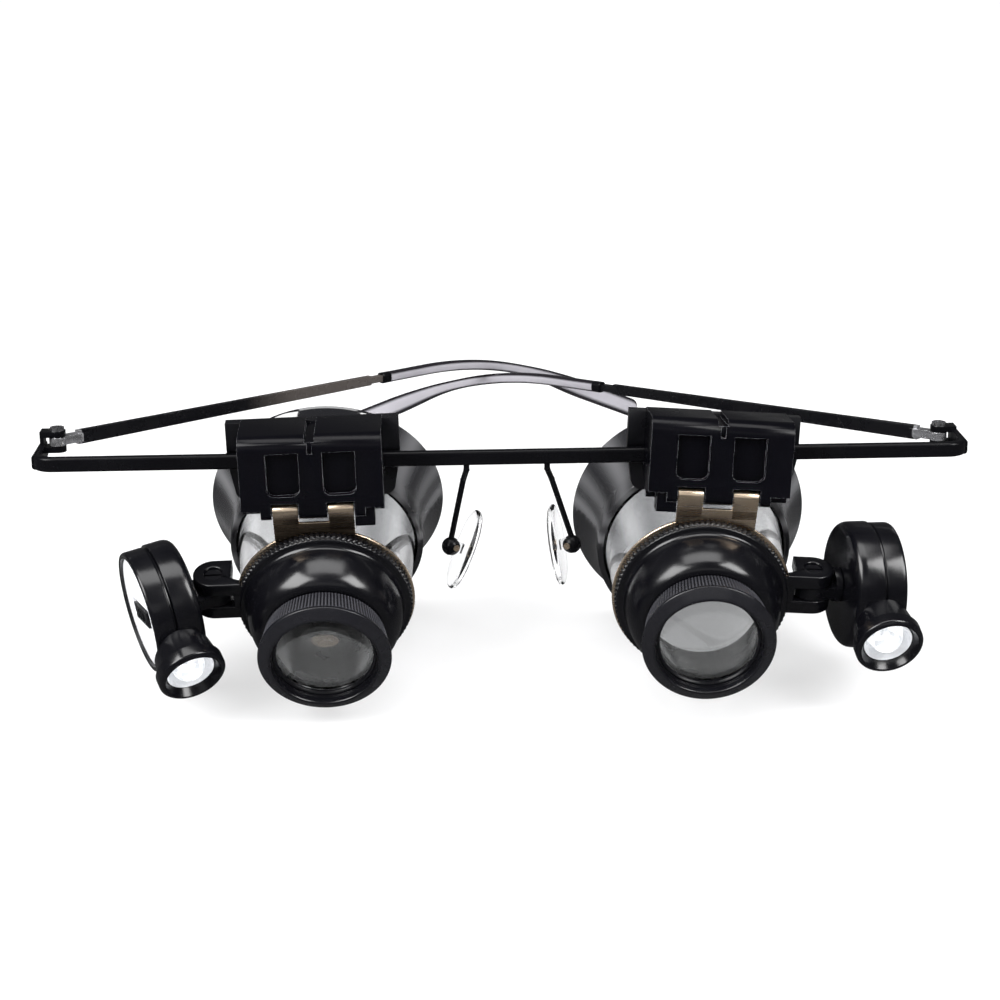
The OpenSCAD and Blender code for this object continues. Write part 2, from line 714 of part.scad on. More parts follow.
module clevis() {
    difference() {
        union() {
            translate([clevis_x, clevis_back, clevis_up]) cylinder(d = clevis_d, h = clevis_h, center = true);
            translate([flange_r - clevis_root, clevis_back - clevis_d / 2, clevis_up - clevis_h / 2])
                cube([clevis_x - flange_r + clevis_root, clevis_d, clevis_h]);
        }
        // Room for the bracket's ring and the clear tube behind the flange
        translate([0, flange_t, 0]) along_y() cylinder(r = tube_back_r, h = 2 * clevis_d, $fn = 128);
        translate([clevis_x, clevis_back, clevis_up]) {
            translate([-clevis_d / 2, -clevis_d, -clevis_slot / 2])
                cube([2 * clevis_d, 2 * clevis_d, clevis_slot]);
            cylinder(d = pivot_d + 2 * seat, h = 2 * clevis_h, center = true);
            translate([0, 0, clevis_h / 2 - head_sink]) cylinder(r = pivot_head_r + seat, h = 2 * head_sink);
        }
    }
}

pivot_head_r = 1.35;
pivot_head_h = 0.7;
pivot_slot_w = 0.4;
module lamp_pivot(side) color(black) loupe_pose(side) translate([clevis_x, clevis_back, clevis_up]) {
    translate([0, 0, -clevis_h / 2]) cylinder(d = pivot_d, h = clevis_h - head_sink + eps);
    translate([0, 0, clevis_h / 2 - head_sink]) difference() {
        cylinder(r = pivot_head_r, h = pivot_head_h);
        translate([-2 * pivot_head_r, -pivot_slot_w / 2, pivot_head_h / 2])
            cube([4 * pivot_head_r, pivot_slot_w, pivot_head_h]);
    }
}

// Clear tube between the bracket and the eyecup, with a seat for the eye lens.
eye_lens_t = 3;
eye_lens_r = 12.7;
eye_rim_t = 1.3;
tube_foot_gap = 0.1;
lens_shelf = 1.6;
spigot_lap = 1;
module tube_body(side) color(clear) loupe_pose(side) along_y() rotate_extrude($fn = 128) difference() {
    foot = flange_t - socket_deep + tube_foot_gap;
    shelf = tube_end - eye_lens_t - 2 * seat;
    shelf_r = tube_back_r - tube_wall - lens_shelf;
    polygon([[spigot_r, foot], [spigot_r, ring_back], [tube_front_r, ring_back], [tube_back_r, tube_end],
        [eye_lens_r + seat, tube_end], [eye_lens_r + seat, shelf], [shelf_r, shelf],
        [spigot_r - tube_wall, ring_back + spigot_lap], [spigot_r - tube_wall, foot]]);
}

module eye_lens(side) color(clear) loupe_pose(side) along_y() translate([0, 0, tube_end - eye_lens_t])
    lens(eye_lens_r, eye_lens_t, eye_rim_t);

// A lens of radius r and thickness t, whose rim is rim_t thick: two equal spherical caps and an edge.
module lens(r, t, rim_t) {
    sag = (t - rim_t) / 2;
    ball = (r * r + sag * sag) / (2 * sag);
    half = asin(r / ball);
    rotate_extrude($fn = 96) polygon(concat(
        [[0, t]],
        [for (i = [1:8]) let (a = half * i / 8) [ball * sin(a), t - ball * (1 - cos(a))]],
        [for (i = [8:-1:1]) let (a = half * i / 8) [ball * sin(a), ball * (1 - cos(a))]],
        [[0, 0]]));
}

// Eyecup: a short sleeve on the tube, an inner lip behind the eye lens, and the flared cup.
sleeve_len = 5;
sleeve_in = 0.3;
flare_lap = 1.5;
flare_curve = 1.5;
lip_t = 0.8;
lip_hole = 1.2;
module eyecup(side) color(gloss_black) loupe_pose(side) along_y() rotate_extrude($fn = 128) {
    grip = tube_back_r + seat;
    outer = grip + eyecup_wall;
    lip_s = tube_end + seat;
    sleeve_r = outer - sleeve_in;
    cup_r = grip - lip_t;
    flare_s = lip_s - flare_lap;
    cup_s = lip_s + lip_t;
    flare = [for (i = [0:12]) let (q = i / 12)
        [sleeve_r + (eyecup_r - sleeve_r) * pow(q, flare_curve), flare_s + (eyecup_back - flare_s) * q]];
    inner = [for (i = [12:-1:0]) let (q = i / 12)
        [cup_r + (eyecup_r - eyecup_wall - cup_r) * pow(q, flare_curve), cup_s + (eyecup_back - cup_s) * q]];
    polygon(concat([[grip, tube_end - sleeve_len], [sleeve_r, tube_end - sleeve_len]], flare, inner,
        [[eye_lens_r - lip_hole, cup_s], [eye_lens_r - lip_hole, lip_s], [grip, lip_s]]));
}

// Focusing barrel: a sleeve in the dome, a ribbed grip band and a plain front rim.
barrel_seat = 8.6;
objective_t = 2.6;
objective_rim_t = 1;
barrel_run = 0.1;
sleeve_back = -1.2;
sleeve_ahead = 0.15;
rim_len = 1.9;
rim_edge = 0.4;
grip_in = 0.2;
grip_deep = 0.15;
lens_lip = 0.35;
seat_step = 0.2;
stop_w = 0.8;
ring_w = 0.5;
ring_sink = 0.15;
ring_gap = 0.25;
core_r = 6;
rib_w = 0.4;
lens_seat_r = lens_open_r - seat_step;
module objective_barrel(side) color(gloss_black) loupe_pose(side) along_y() {
    back = -dome_len - sleeve_ahead;
    grip_end = rim_len - rim_ahead;
    difference() {
        union() {
            rotate_extrude($fn = 128) polygon([[core_r, sleeve_back], [bore_r - barrel_run, sleeve_back],
                [bore_r - barrel_run, back], [neck_r - grip_in, back],
                [rim_r - rim_edge - barrel_run, grip_end],
                [rim_r - barrel_run, grip_end - barrel_run], [rim_r, grip_end - rim_edge],
                [rim_r, 2 * rim_edge - rim_ahead], [lens_open_r + lens_lip, -rim_ahead],
                [core_r, -rim_ahead]]);
            intersection() {
                rotate_extrude($fn = 128) polygon([[bore_r - stop_w, back - grip_in],
                    [neck_r + grip_deep, back - grip_in],
                    [rim_r - grip_deep, grip_end], [bore_r - stop_w, grip_end]]);
                translate([0, 0, grip_end - 1]) linear_extrude(rim_ahead) for (i = [0:grip_ribs - 1])
                    rotate([0, 0, 360 * i / grip_ribs]) translate([0, -rib_w / 2]) square([2 * rim_r, rib_w]);
            }
        }
        translate([0, 0, -rim_ahead - 1]) cylinder(r = lens_open_r, h = lens_recess + 1, $fn = 96);
        translate([0, 0, -rim_ahead]) cylinder(r = lens_seat_r, h = rim_ahead - barrel_seat, $fn = 96);
        translate([0, 0, -rim_ahead]) cylinder(r = lens_seat_r - stop_w, h = rim_ahead + 1, $fn = 96);
    }
}

module objective_lens(side) color(clear) loupe_pose(side) along_y()
    translate([0, 0, -barrel_seat - objective_t]) lens(lens_seat_r - seat, objective_t, objective_rim_t);

module lens_ring(side) color(black) loupe_pose(side) along_y() difference() {
    front = -rim_ahead + lens_recess + ring_sink;
    back = -barrel_seat - (objective_t + objective_rim_t) / 2 - ring_gap;
    translate([0, 0, front]) cylinder(r = lens_seat_r - seat, h = back - front, $fn = 96);
    translate([0, 0, -rim_ahead]) cylinder(r = lens_seat_r - ring_w, h = rim_ahead, $fn = 96);
}

// Lamp arm: a flat tongue between the clevis ears, and a stub on which the cell case swivels.
stub_r = 1.2;
collar_r = 2.6;
stub_len = 2.4;
arm_gap = 0.15;
tongue_gap = 0.1;
tongue_in = 0.2;
cheek_in = 0.5;
collar_gap = 0.25;
module lamp_arm(side) color(black) arm_pose(side) {
    wall = arm_len - case_in - arm_gap;
    tongue = clevis_slot - 2 * tongue_gap;
    difference() {
        union() {
            cylinder(d = clevis_d - 2 * tongue_in, h = tongue, center = true);
            translate([0, cheek_in - clevis_d / 2, -tongue / 2])
                cube([wall - tongue_in, clevis_d - 2 * cheek_in, tongue]);
        }
        cylinder(d = pivot_d + 2 * run, h = 2 * clevis_h, center = true);
    }
    translate([clevis_d / 2 + collar_gap, 0, 0]) along_x()
        cylinder(r = collar_r, h = wall - clevis_d / 2 - collar_gap);
    translate([wall - eps, 0, 0]) along_x() cylinder(r = stub_r, h = stub_len);
}

edge_r = 1;
module lamp_inner_shell(side) color(gloss_black) lamp_pose(side) along_x() difference() {
    rotate_extrude($fn = 96) polygon(concat([[0, 0], [case_r, 0]],
        arc(case_r - edge_r, edge_r - case_in, edge_r, 0, -90, 6), [[0, -case_in]]));
    translate([0, 0, case_wall - case_in]) cylinder(r = case_r - case_wall, h = case_in, $fn = 96);
    translate([0, 0, -case_in - 1]) cylinder(r = stub_r + run, h = case_in);
}

cover_sink = 0.5;
cap_t = 0.8;
cap_r = 8.6;
cap_shelf = 0.4;
shell_step = 0.25;
shell_edge = 0.6;
seam_gap = 0.06;
seam_in = 0.2;
seam_up = 0.3;
module lamp_outer_shell(side) color(gloss_black) lamp_pose(side) along_x() difference() {
    outer = case_r - shell_step;
    rotate_extrude($fn = 96) polygon(concat([[0, seam_gap], [0, case_out]],
        arc(outer - shell_edge, case_out - shell_edge, shell_edge, 90, 0, 5),
        [[outer, seam_up + seam_in], [outer - seam_in, seam_up], [outer - seam_in, seam_gap]]));
    translate([0, 0, -1]) cylinder(r = cap_r - cap_shelf, h = 2 * case_out, $fn = 96);
    translate([0, 0, case_out - cover_sink - cap_t]) cylinder(r = cap_r + seat, h = 2 * cap_t, $fn = 96);
}

// Silver cell cover with a slot, front end up, in which the black slide switch runs.
slot_turn = 35;
slot_len = 10.5;
slot_h = 2.8;
slider_len = 7.5;
slider_gap = 0.1;
slider_room = 0.15;
slider_under = 0.15;
slider_up = 0.35;
rib_step = 1.2;
rib_up = 0.2;
module slot_turned() { rotate([-slot_turn, 0, 0]) children(); }

module battery_cover(side) color(silver) lamp_pose(side) slot_turned() along_x()
    translate([0, 0, case_out - cover_sink - cap_t]) difference() {
        cylinder(r = cap_r, h = cap_t, $fn = 96);
        translate([-slot_h / 2, -slot_len / 2, -1]) cube([slot_h, slot_len, cap_t + 2]);
    }

module lamp_switch(side) color(black) lamp_pose(side) slot_turned() along_x()
    translate([0, slider_gap - (slot_len - slider_len) / 2, case_out - cover_sink - cap_t]) {
        w = slot_h - 2 * slider_room;
        translate([-w / 2, -slider_len / 2, -slider_under])
            cube([w, slider_len, slider_under + cap_t + slider_up]);
        for (i = [-1:1]) translate([-w / 4, (i - 1 / 6) * rib_step, cap_t + slider_up - eps])
            cube([w / 2, rib_step / 3, rib_up]);
    }

cell_t = 2;
cell_r = 7.6;
cell_at = -0.9;
cell_edge = 0.4;
cell_crimp = 0.3;
module coin_cell(side) color(silver) lamp_pose(side) along_x() translate([0, 0, cell_at]) {
    cylinder(r = cell_r - cell_edge, h = cell_t, $fn = 96);
    translate([0, 0, cell_crimp]) cylinder(r = cell_r, h = cell_t - cell_crimp, $fn = 96);
}

contact_r = 5;
contact_t = 0.3;
post_at = 3.6;
post_r = 0.6;
module cell_contact(side) color(gold) lamp_pose(side) along_x() translate([0, 0, case_wall - case_in]) {
    difference() {
        cylinder(r = contact_r, h = contact_t);
        translate([0, 0, -1]) cylinder(r = stub_r + post_r, h = contact_t + 2);
    }
    for (a = [0, 120, 240]) rotate([0, 0, a]) translate([post_at, 0, contact_t - eps])
        cylinder(r = post_r, h = case_in - case_wall + cell_at - contact_t);
}

// Lamp barrel: a slowly widening neck saddled on the case, a ring line, and a rim with a reflector inside.
barrel_root = 7;
bell_root_r = 4.85;
bell_len = 2.4;
bell_step = 0.25;
bell_edge = 0.4;
bell_wall = 0.4;
led_seat = 4.2;
led_flange_t = 0.8;
led_flange = 0.45;
led_body = 1.6;
led_gap = 0.1;
module led_barrel(side) color(gloss_black) lamp_pose(side) difference() {
    inner = led_d / 2 + led_flange + led_gap;
    rotate([90, 0, 0]) rotate_extrude($fn = 80) polygon([[0, barrel_root], [barrel_r, barrel_root],
        [bell_root_r, bell_ahead - bell_len], [bell_r, bell_ahead - bell_len + bell_step],
        [bell_r, bell_ahead - bell_edge], [bell_r - bell_edge, bell_ahead],
        [bell_r - bell_edge - bell_wall, bell_ahead],
        [inner, bell_ahead - led_seat + led_flange_t + bell_edge], [inner, bell_ahead - led_seat],
        [0, bell_ahead - led_seat]]);
    along_x() cylinder(r = case_r + seat, h = 4 * case_in, center = true, $fn = 96);
}

module led(side) color("white") lamp_pose(side) translate([0, led_seat - bell_ahead, 0]) rotate([90, 0, 0]) {
    cylinder(d = led_d + 2 * led_flange, h = led_flange_t);
    cylinder(d = led_d, h = led_body);
    translate([0, 0, led_body]) difference() {
        sphere(d = led_d, $fn = 48);
        translate([-led_d, -led_d, -2 * led_d]) cube(2 * led_d);
    }
}

front_bar();
temple_screws();
temple(L);  // temple_left
temple(R);  // temple_right
ear_tip(L);  // ear_tip_left
ear_tip(R);  // ear_tip_right
nose_arm(L);  // nose_arm_left
nose_arm(R);  // nose_arm_right
nose_screws();
nose_pad(L);  // nose_pad_left
nose_pad(R);  // nose_pad_right
clip_cover(L);  // clip_cover_left
clip_cover(R);  // clip_cover_right
clip_plate(L);  // clip_plate_left
clip_plate(R);  // clip_plate_right
clip_screws(L);  // clip_screws_left
clip_screws(R);  // clip_screws_right
hinge_pin(L);  // hinge_pin_left
hinge_pin(R);  // hinge_pin_right
hinge_bracket(L);  // hinge_bracket_left
hinge_bracket(R);  // hinge_bracket_right
front_ring(L);  // front_ring_left
front_ring(R);  // front_ring_right
tube_body(L);  // tube_body_left
tube_body(R);  // tube_body_right
eyecup(L);  // eyecup_left
eyecup(R);  // eyecup_right
eye_lens(L);  // eye_lens_left
eye_lens(R);  // eye_lens_right
objective_barrel(L);  // objective_barrel_left
objective_barrel(R);  // objective_barrel_right
objective_lens(L);  // objective_lens_left
objective_lens(R);  // objective_lens_right
lens_ring(L);  // lens_ring_left
lens_ring(R);  // lens_ring_right
lamp_pivot(L);  // lamp_pivot_left
lamp_pivot(R);  // lamp_pivot_right
lamp_arm(L);  // lamp_arm_left
lamp_arm(R);  // lamp_arm_right
lamp_inner_shell(L);  // lamp_inner_shell_left
lamp_inner_shell(R);  // lamp_inner_shell_right
lamp_outer_shell(L);  // lamp_outer_shell_left
lamp_outer_shell(R);  // lamp_outer_shell_right
battery_cover(L);  // battery_cover_left
battery_cover(R);  // battery_cover_right
lamp_switch(L);  // lamp_switch_left
lamp_switch(R);  // lamp_switch_right
coin_cell(L);  // coin_cell_left
coin_cell(R);  // coin_cell_right
cell_contact(L);  // cell_contact_left
cell_contact(R);  // cell_contact_right
led_barrel(L);  // led_barrel_left
led_barrel(R);  // led_barrel_right
led(L);  // led_left
led(R);  // led_right
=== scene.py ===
# %% [markdown]
# # Magnifying spectacles for bench work
# A slim brow bar carries two flip-up loupes, and beside each loupe a small lamp swivels on its own
# arm. The engineering model is loaded as a fixed frame, and this lesson dresses it: some solids
# stay and get a finish, and finer surfaces are worked out here for the others.

import math

import bmesh
import bpy
import numpy as np
from mathutils import Matrix


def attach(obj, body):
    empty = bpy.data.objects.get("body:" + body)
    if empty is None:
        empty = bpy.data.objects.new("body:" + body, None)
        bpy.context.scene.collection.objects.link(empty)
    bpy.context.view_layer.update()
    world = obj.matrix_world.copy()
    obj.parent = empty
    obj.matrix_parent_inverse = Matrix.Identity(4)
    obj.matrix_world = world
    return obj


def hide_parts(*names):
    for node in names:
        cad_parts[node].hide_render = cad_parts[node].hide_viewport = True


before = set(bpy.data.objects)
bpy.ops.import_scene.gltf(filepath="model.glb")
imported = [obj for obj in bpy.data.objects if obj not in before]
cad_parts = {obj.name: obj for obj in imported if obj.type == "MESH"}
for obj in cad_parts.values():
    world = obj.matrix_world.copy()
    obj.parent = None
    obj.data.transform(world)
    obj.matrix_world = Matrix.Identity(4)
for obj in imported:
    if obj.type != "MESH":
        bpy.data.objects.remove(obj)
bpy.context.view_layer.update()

# %% [markdown]
# ## The camera
# The photograph was taken from the front and about 26 degrees above the table. The camera's place
# was fitted to it, so the picture has the same perspective.

# %% Camera
FOOTPRINT_BACK, BAR_LIFT, LEAN = 33.16, 36.2, 10.0
CAMERA_AT = np.array([-10.75, -325.81 - FOOTPRINT_BACK, 185.95 + BAR_LIFT - 34.2]) / 1000
ELEVATION, AZIMUTH, ROLL, LENS = 26.01, -1.82, -0.21, 85.08


def put(name, data):
    """A new object in the scene."""
    made = bpy.data.objects.new(name, data)
    bpy.context.scene.collection.objects.link(made)
    return made


def facing(place, back, roll=0.0):
    """The 4 x 4 pose of a thing that looks away from the direction back: its columns are right, up,
    back and the place. A roll in degrees turns right and up about back."""
    back = np.array(back, float) / np.linalg.norm(back)
    right = np.cross([0, 0, 1], back)
    right /= np.linalg.norm(right)
    up, c, s = np.cross(back, right), math.cos(math.radians(roll)), math.sin(math.radians(roll))
    pose = np.eye(4)
    pose[:3] = np.stack([c * right + s * up, c * up - s * right, back, place], 1)
    return Matrix(pose.tolist())


e, a = np.radians([ELEVATION, AZIMUTH])
camera = put("camera", bpy.data.cameras.new("camera"))
camera.matrix_world = facing(
    CAMERA_AT, [np.sin(a) * np.cos(e), -np.cos(a) * np.cos(e), np.sin(e)], ROLL)
camera.data.lens, camera.data.sensor_width = LENS, 36.0
camera.data.clip_start, camera.data.clip_end = 0.01, 20.0
bpy.context.scene.camera = camera
bpy.context.scene.view_settings.view_transform = "Standard"
print("camera at", np.round(CAMERA_AT, 4))

# %% [markdown]
# ## Node helpers for the finishes
# Every finish is a Principled shader with patterns on Object coordinates, which are real metres on
# every piece. A pattern of 1000 per metre has waves of about one millimetre.

# %% Helpers for materials
def add(tree, kind, sockets=(), **settings):
    """Adds a shader node with its settings. A socket gets a plain value, or a link from another."""
    node = tree.nodes.new("ShaderNode" + kind)
    for name, value in settings.items():
        setattr(node, name, value)
    for name, value in dict(sockets).items():
        if isinstance(value, bpy.types.NodeSocket):
            tree.links.new(value, node.inputs[name])
        else:
            node.inputs[name].default_value = value
    return node


def finish(name, base, rough, **sockets):
    """A Principled material with plain values on its own sockets."""
    made = bpy.data.materials.new(name)
    made.use_nodes = True
    shader = made.node_tree.nodes["Principled BSDF"]
    shader.inputs["Base Color"].default_value = (*base, 1)
    shader.inputs["Roughness"].default_value = rough
    for socket, value in sockets.items():
        shader.inputs[socket.replace("_", " ")].default_value = value
    return made, made.node_tree, shader


def wire(tree, shader, **sockets):
    """Links sockets to the inputs of a shader."""
    for name, socket in sockets.items():
        tree.links.new(socket, shader.inputs[name.replace("_", " ")])


def pattern(tree, scale, detail=3.0, stretch=(1, 1, 1)):
    """Noise on Object coordinates. A stretch below 1 draws the pattern out along that axis."""
    place = add(tree, "TexCoord").outputs["Object"]
    mapped = add(tree, "Mapping", {"Vector": place, "Scale": stretch}).outputs["Vector"]
    noise = {"Vector": mapped, "Scale": scale, "Detail": detail}
    return add(tree, "TexNoise", noise).outputs["Fac"]


def remap(tree, value, low, high, start=0.3, end=0.7):
    """Runs from low to high as a value goes from start to end."""
    ends = {"Value": value, "From Min": start, "From Max": end, "To Min": low, "To Max": high}
    return add(tree, "MapRange", ends).outputs["Result"]


def blend_colors(tree, factor, first, second):
    """Mixes two colours, or colour sockets, by a factor socket."""
    first, second = ((*c, 1) if isinstance(c, tuple) else c for c in (first, second))
    return add(tree, "Mix", {"Factor": factor, 6: first, 7: second}, data_type="RGBA").outputs[2]


def relief(tree, shader, value, depth, strength):
    """Bump from a pattern, with its depth in metres."""
    bump = add(tree, "Bump", {"Strength": strength, "Distance": depth, "Height": value})
    wire(tree, shader, Normal=bump.outputs["Normal"])


def tinted_by(made, name, color, start=0.0, end=1.0):
    """Mixes a colour in where an attribute of the piece is high."""
    tree = made.node_tree
    shader = tree.nodes["Principled BSDF"]
    before = shader.inputs["Base Color"].links[0].from_socket
    share = add(tree, "Attribute", attribute_name=name).outputs["Fac"]
    factor = remap(tree, share, 0.0, 1.0, start, end)
    wire(tree, shader, Base_Color=blend_colors(tree, factor, before, color))


# %% [markdown]
# ## Black plastics and black paint
# The front rings, the eyecups and the cell cases are polished black plastic, with faint smudges a
# few millimetres across in its gloss. The clips are a satin black with a fine moulded grain, and
# their edges are a lighter grey as a painted highlight. The bar and temples are painted metal with
# a soft orange-peel surface.
# Attributes of the pieces paint highlights into the colour: lighter crests of the ribs and of the
# barrel's bevel, and a lighter sheen on the eyecups.

# %% Black finishes
SMUDGE = 220.0


def black(name, base, rough_low, rough_high, grain, depth, gloss):
    """Black with smudges in its roughness, a drift in its colour and a fine grain in its relief."""
    made, tree, shader = finish(name, base, rough_low, Specular_IOR_Level=gloss)
    lighter = tuple(1.7 * c + 0.0005 for c in base)
    wire(tree, shader, Roughness=remap(tree, pattern(tree, SMUDGE, 4.0), rough_low, rough_high),
         Base_Color=blend_colors(tree, pattern(tree, SMUDGE / 2, 2.0), base, lighter))
    relief(tree, shader, pattern(tree, grain, 2.0), depth, 0.5)
    return made


GLOSS_BLACK = black("polished_black", (0.0015, 0.0015, 0.0022), 0.16, 0.25, 900, 0.00001, 0.35)
CLIP_BLACK = black("moulded_black", (0.001, 0.001, 0.0017), 0.18, 0.28, 5200, 0.00001, 0.11)
CUP_BLACK = black("cup_black", (0.006, 0.006, 0.007), 0.04, 0.09, 900, 0.000005, 0.9)
# Painted highlight: a lighter grey for the bevel faces along the clips' edges.
EDGE_PAINTED_HIGHLIGHT = black("painted_edge_highlight", (0.34, 0.34, 0.36), 0.26, 0.4, 5200, 0.00002, 0.6)
PLATE_BLACK = black("plate_black", (0.002, 0.002, 0.0028), 0.24, 0.36, 4200, 0.00003, 0.25)
BAR_BLACK = black("painted_black", (0.0015, 0.0015, 0.002), 0.2, 0.32, 1500, 0.00002, 0.12)
RIB_BLACK = black("ribbed_black", (0.0025, 0.0025, 0.0035), 0.2, 0.3, 900, 0.00001, 0.4)
# Painted highlight: the crests of the barrel's ribs and its bevel get a lighter grey.
tinted_by(RIB_BLACK, "painted_crest_highlight", (0.045, 0.045, 0.052))
# Painted sheen: light bands along the eyecups.
tinted_by(CUP_BLACK, "painted_band", (0.12, 0.12, 0.125))
print("black finishes:", [m.name for m in (GLOSS_BLACK, CLIP_BLACK, PLATE_BLACK, BAR_BLACK)])

# %% [markdown]
# ## Metals
# The hinge bracket is pale gold sheet, brushed along its width. The screws are turned steel and the
# cell covers are a satin silver. A brushed metal has long thin scratches, so its noise is drawn out
# along one axis, and both the roughness and the relief read it.

# %% Metal finishes
def metal(name, light, dark, rough_low, rough_high, stretch, metallic=1.0):
    """Metal with drawn-out scratches in its colour, roughness and relief."""
    made, tree, shader = finish(name, light, rough_low, Metallic=metallic)
    scratches = pattern(tree, 3000.0, 5.0, stretch)
    clouds = remap(tree, pattern(tree, 250.0), 0.0, 1.0)
    wire(tree, shader, Roughness=remap(tree, scratches, rough_low, rough_high),
         Base_Color=blend_colors(tree, clouds, light, dark))
    relief(tree, shader, scratches, 0.00001, 0.6)
    return made


BRACKET_GOLD = metal(
    "brushed_gold", (0.93, 0.76, 0.58), (0.8, 0.63, 0.46), 0.22, 0.34, (0.06, 1, 1))
SCREW_STEEL = metal("turned_steel", (0.66, 0.66, 0.68), (0.46, 0.46, 0.48), 0.2, 0.36, (1, 1, 0.2))
COVER_SILVER = metal(
    "satin_silver", (0.88, 0.89, 0.91), (0.84, 0.85, 0.87), 0.3, 0.42, (1, 1, 0.15), 0.2)
# Painted shade: the bracket's tab darkens where an attribute marks it, most on the left side.
tinted_by(BRACKET_GOLD, "shade", (0.09, 0.06, 0.035))
print("metal finishes:", [m.name for m in (BRACKET_GOLD, SCREW_STEEL, COVER_SILVER)])

# %% [markdown]
# ## Clear parts
# The tube between the bracket and the eyecup is clear plastic with a smoky tint, the lenses are
# clean glass, the pads are soft clear plastic, and the ear tips are a translucent smoke grey. Light
# passes through all of them, so they are closed solids with a refractive index. Slow waves in their
# relief bend what is seen through them. Attributes paint dark reflections on the tube and a painted
# shade at the edges of the ear tips.

# %% Clear finishes
def clear(name, tint, rough, ior, through=1.0, waves=260.0, depth=0.00001, second=None):
    """A see-through solid with slow waves in its relief and a slight change of its tint."""
    made, tree, shader = finish(name, tint, rough, IOR=ior, Transmission_Weight=through)
    drift = remap(tree, pattern(tree, waves / 2, 2.0), 0.0, 1.0)
    darker = second or tuple(0.92 * c for c in tint)
    wire(tree, shader, Base_Color=blend_colors(tree, drift, tint, darker),
         Roughness=remap(tree, pattern(tree, waves), rough, rough + 0.04))
    relief(tree, shader, pattern(tree, waves * 1.5, 2.0), depth, 0.5)
    return made


TUBE_CLEAR = clear("smoky_clear", (0.86, 0.862, 0.87), 0.01, 1.49)
# Painted reflections: dark bands in the tube's colour stand in for dark things seen in it.
tinted_by(TUBE_CLEAR, "painted_band", (0.16, 0.16, 0.17))
LENS_GLASS = clear("lens_glass", (0.84, 0.85, 0.85), 0.01, 1.52, waves=60.0, depth=0.000001)
PAD_CLEAR = clear("soft_clear", (0.98, 0.983, 0.987), 0.01, 1.34)
TIP_SMOKE = clear(
    "smoke_grey", (0.41, 0.4, 0.43), 0.14, 1.48, through=0.3, second=(0.36, 0.35, 0.38))
# Painted shade: the top and bottom edges of the ear tips are darkened, leaving a lighter band along
# the middle.
tinted_by(TIP_SMOKE, "edge", (0.012, 0.011, 0.014), 0.45, 0.75)
print("clear finishes:", [m.name for m in (TUBE_CLEAR, LENS_GLASS, PAD_CLEAR, TIP_SMOKE)])

# %% [markdown]
# ## The lit diode
# The diode is a milky dome that is lit in the photograph. It is an emission over a grey base, and
# weaker where the mottled plastic is thicker.

# %% Lit diode
LED_WHITE, tree, shader = finish("lit_diode", (0.30, 0.31, 0.32), 0.25, Emission_Strength=1.0)
mottled = remap(tree, pattern(tree, 900.0), 0.0, 1.0, 0.4, 0.6)
wire(tree, shader, Emission_Color=blend_colors(tree, mottled, (1.0, 1.0, 1.0), (0.50, 0.52, 0.54)))
REFLECTOR_WHITE, tree, shader = finish("white_reflector", (0.60, 0.61, 0.63), 0.25)
wire(tree, shader, Roughness=remap(tree, pattern(tree, 900.0), 0.2, 0.35))
print("lit finishes:", [m.name for m in (LED_WHITE, REFLECTOR_WHITE)])

# %% [markdown]
# ## Surfaces from numbers
# A turned part, a swept tip and a bevelled plate are all grids of points with two parameters. One
# helper turns such grids into a mesh. It joins the first and last rows or columns where the surface
# closes, merges the points that fall together at a pole, and turns the faces outwards, which also
# repairs what a mirrored side turned inside out.

# %% Grid to mesh
MERGE = 2e-7


def grid_faces(rows, columns, start, closed_rows, closed_columns):
    """Corner numbers of the quads between neighbouring rows and columns, as one array."""
    i = np.arange(rows if closed_rows else rows - 1)[:, None]
    j = np.arange(columns if closed_columns else columns - 1)[None, :]
    a, b = (i * columns + j), (i * columns + (j + 1) % columns)
    c, d = ((i + 1) % rows * columns + (j + 1) % columns), ((i + 1) % rows * columns + j)
    return start + np.stack([a, b, c, d], -1).reshape(-1, 4)


def made_piece(name, grids, material, pose, sharp=38.0):
    """Places grids of millimetres with a 4 x 4 pose, and makes them one closed and smooth piece.
    Each grid is (points, rows close, columns close, ends are filled)."""
    points, faces, start = [], [], 0
    for grid, closed_rows, closed_columns, filled in grids:
        rows, columns = grid.shape[:2]
        faces += grid_faces(rows, columns, start, closed_rows, closed_columns).tolist()
        if filled:
            faces.append((start + np.arange(columns)).tolist())
            faces.append((start + (rows - 1) * columns + np.arange(columns)[::-1]).tolist())
        points.append(grid.reshape(-1, 3))
        start += rows * columns
    points = np.concatenate(points)
    world = (points @ pose[:3, :3].T + pose[:3, 3]) / 1000
    mesh = bpy.data.meshes.new(name)
    mesh.from_pydata(world.tolist(), [], faces)
    work = bmesh.new()
    work.from_mesh(mesh)
    bmesh.ops.remove_doubles(work, verts=work.verts, dist=MERGE)
    bmesh.ops.recalc_face_normals(work, faces=work.faces)
    work.to_mesh(mesh)
    work.free()
    mesh.polygons.foreach_set("use_smooth", np.ones(len(mesh.polygons), bool))
    mesh.set_sharp_from_angle(angle=math.radians(sharp))
    mesh.materials.append(material)
    return put(name, mesh)


def local_points(piece, pose):
    """The points of a piece in millimetres, in the frame of a pose."""
    flat = np.empty(3 * len(piece.data.vertices))
    piece.data.vertices.foreach_get("co", flat)
    return (1000 * flat.reshape(-1, 3) - pose[:3, 3]) @ pose[:3, :3]


def keep_value(piece, name, values):
    """Keeps a number from 0 to 1 at each point."""
    made = piece.data.attributes.new(name, "FLOAT", "POINT")
    made.data.foreach_set("value", np.clip(values, 0, 1).astype(np.float32))


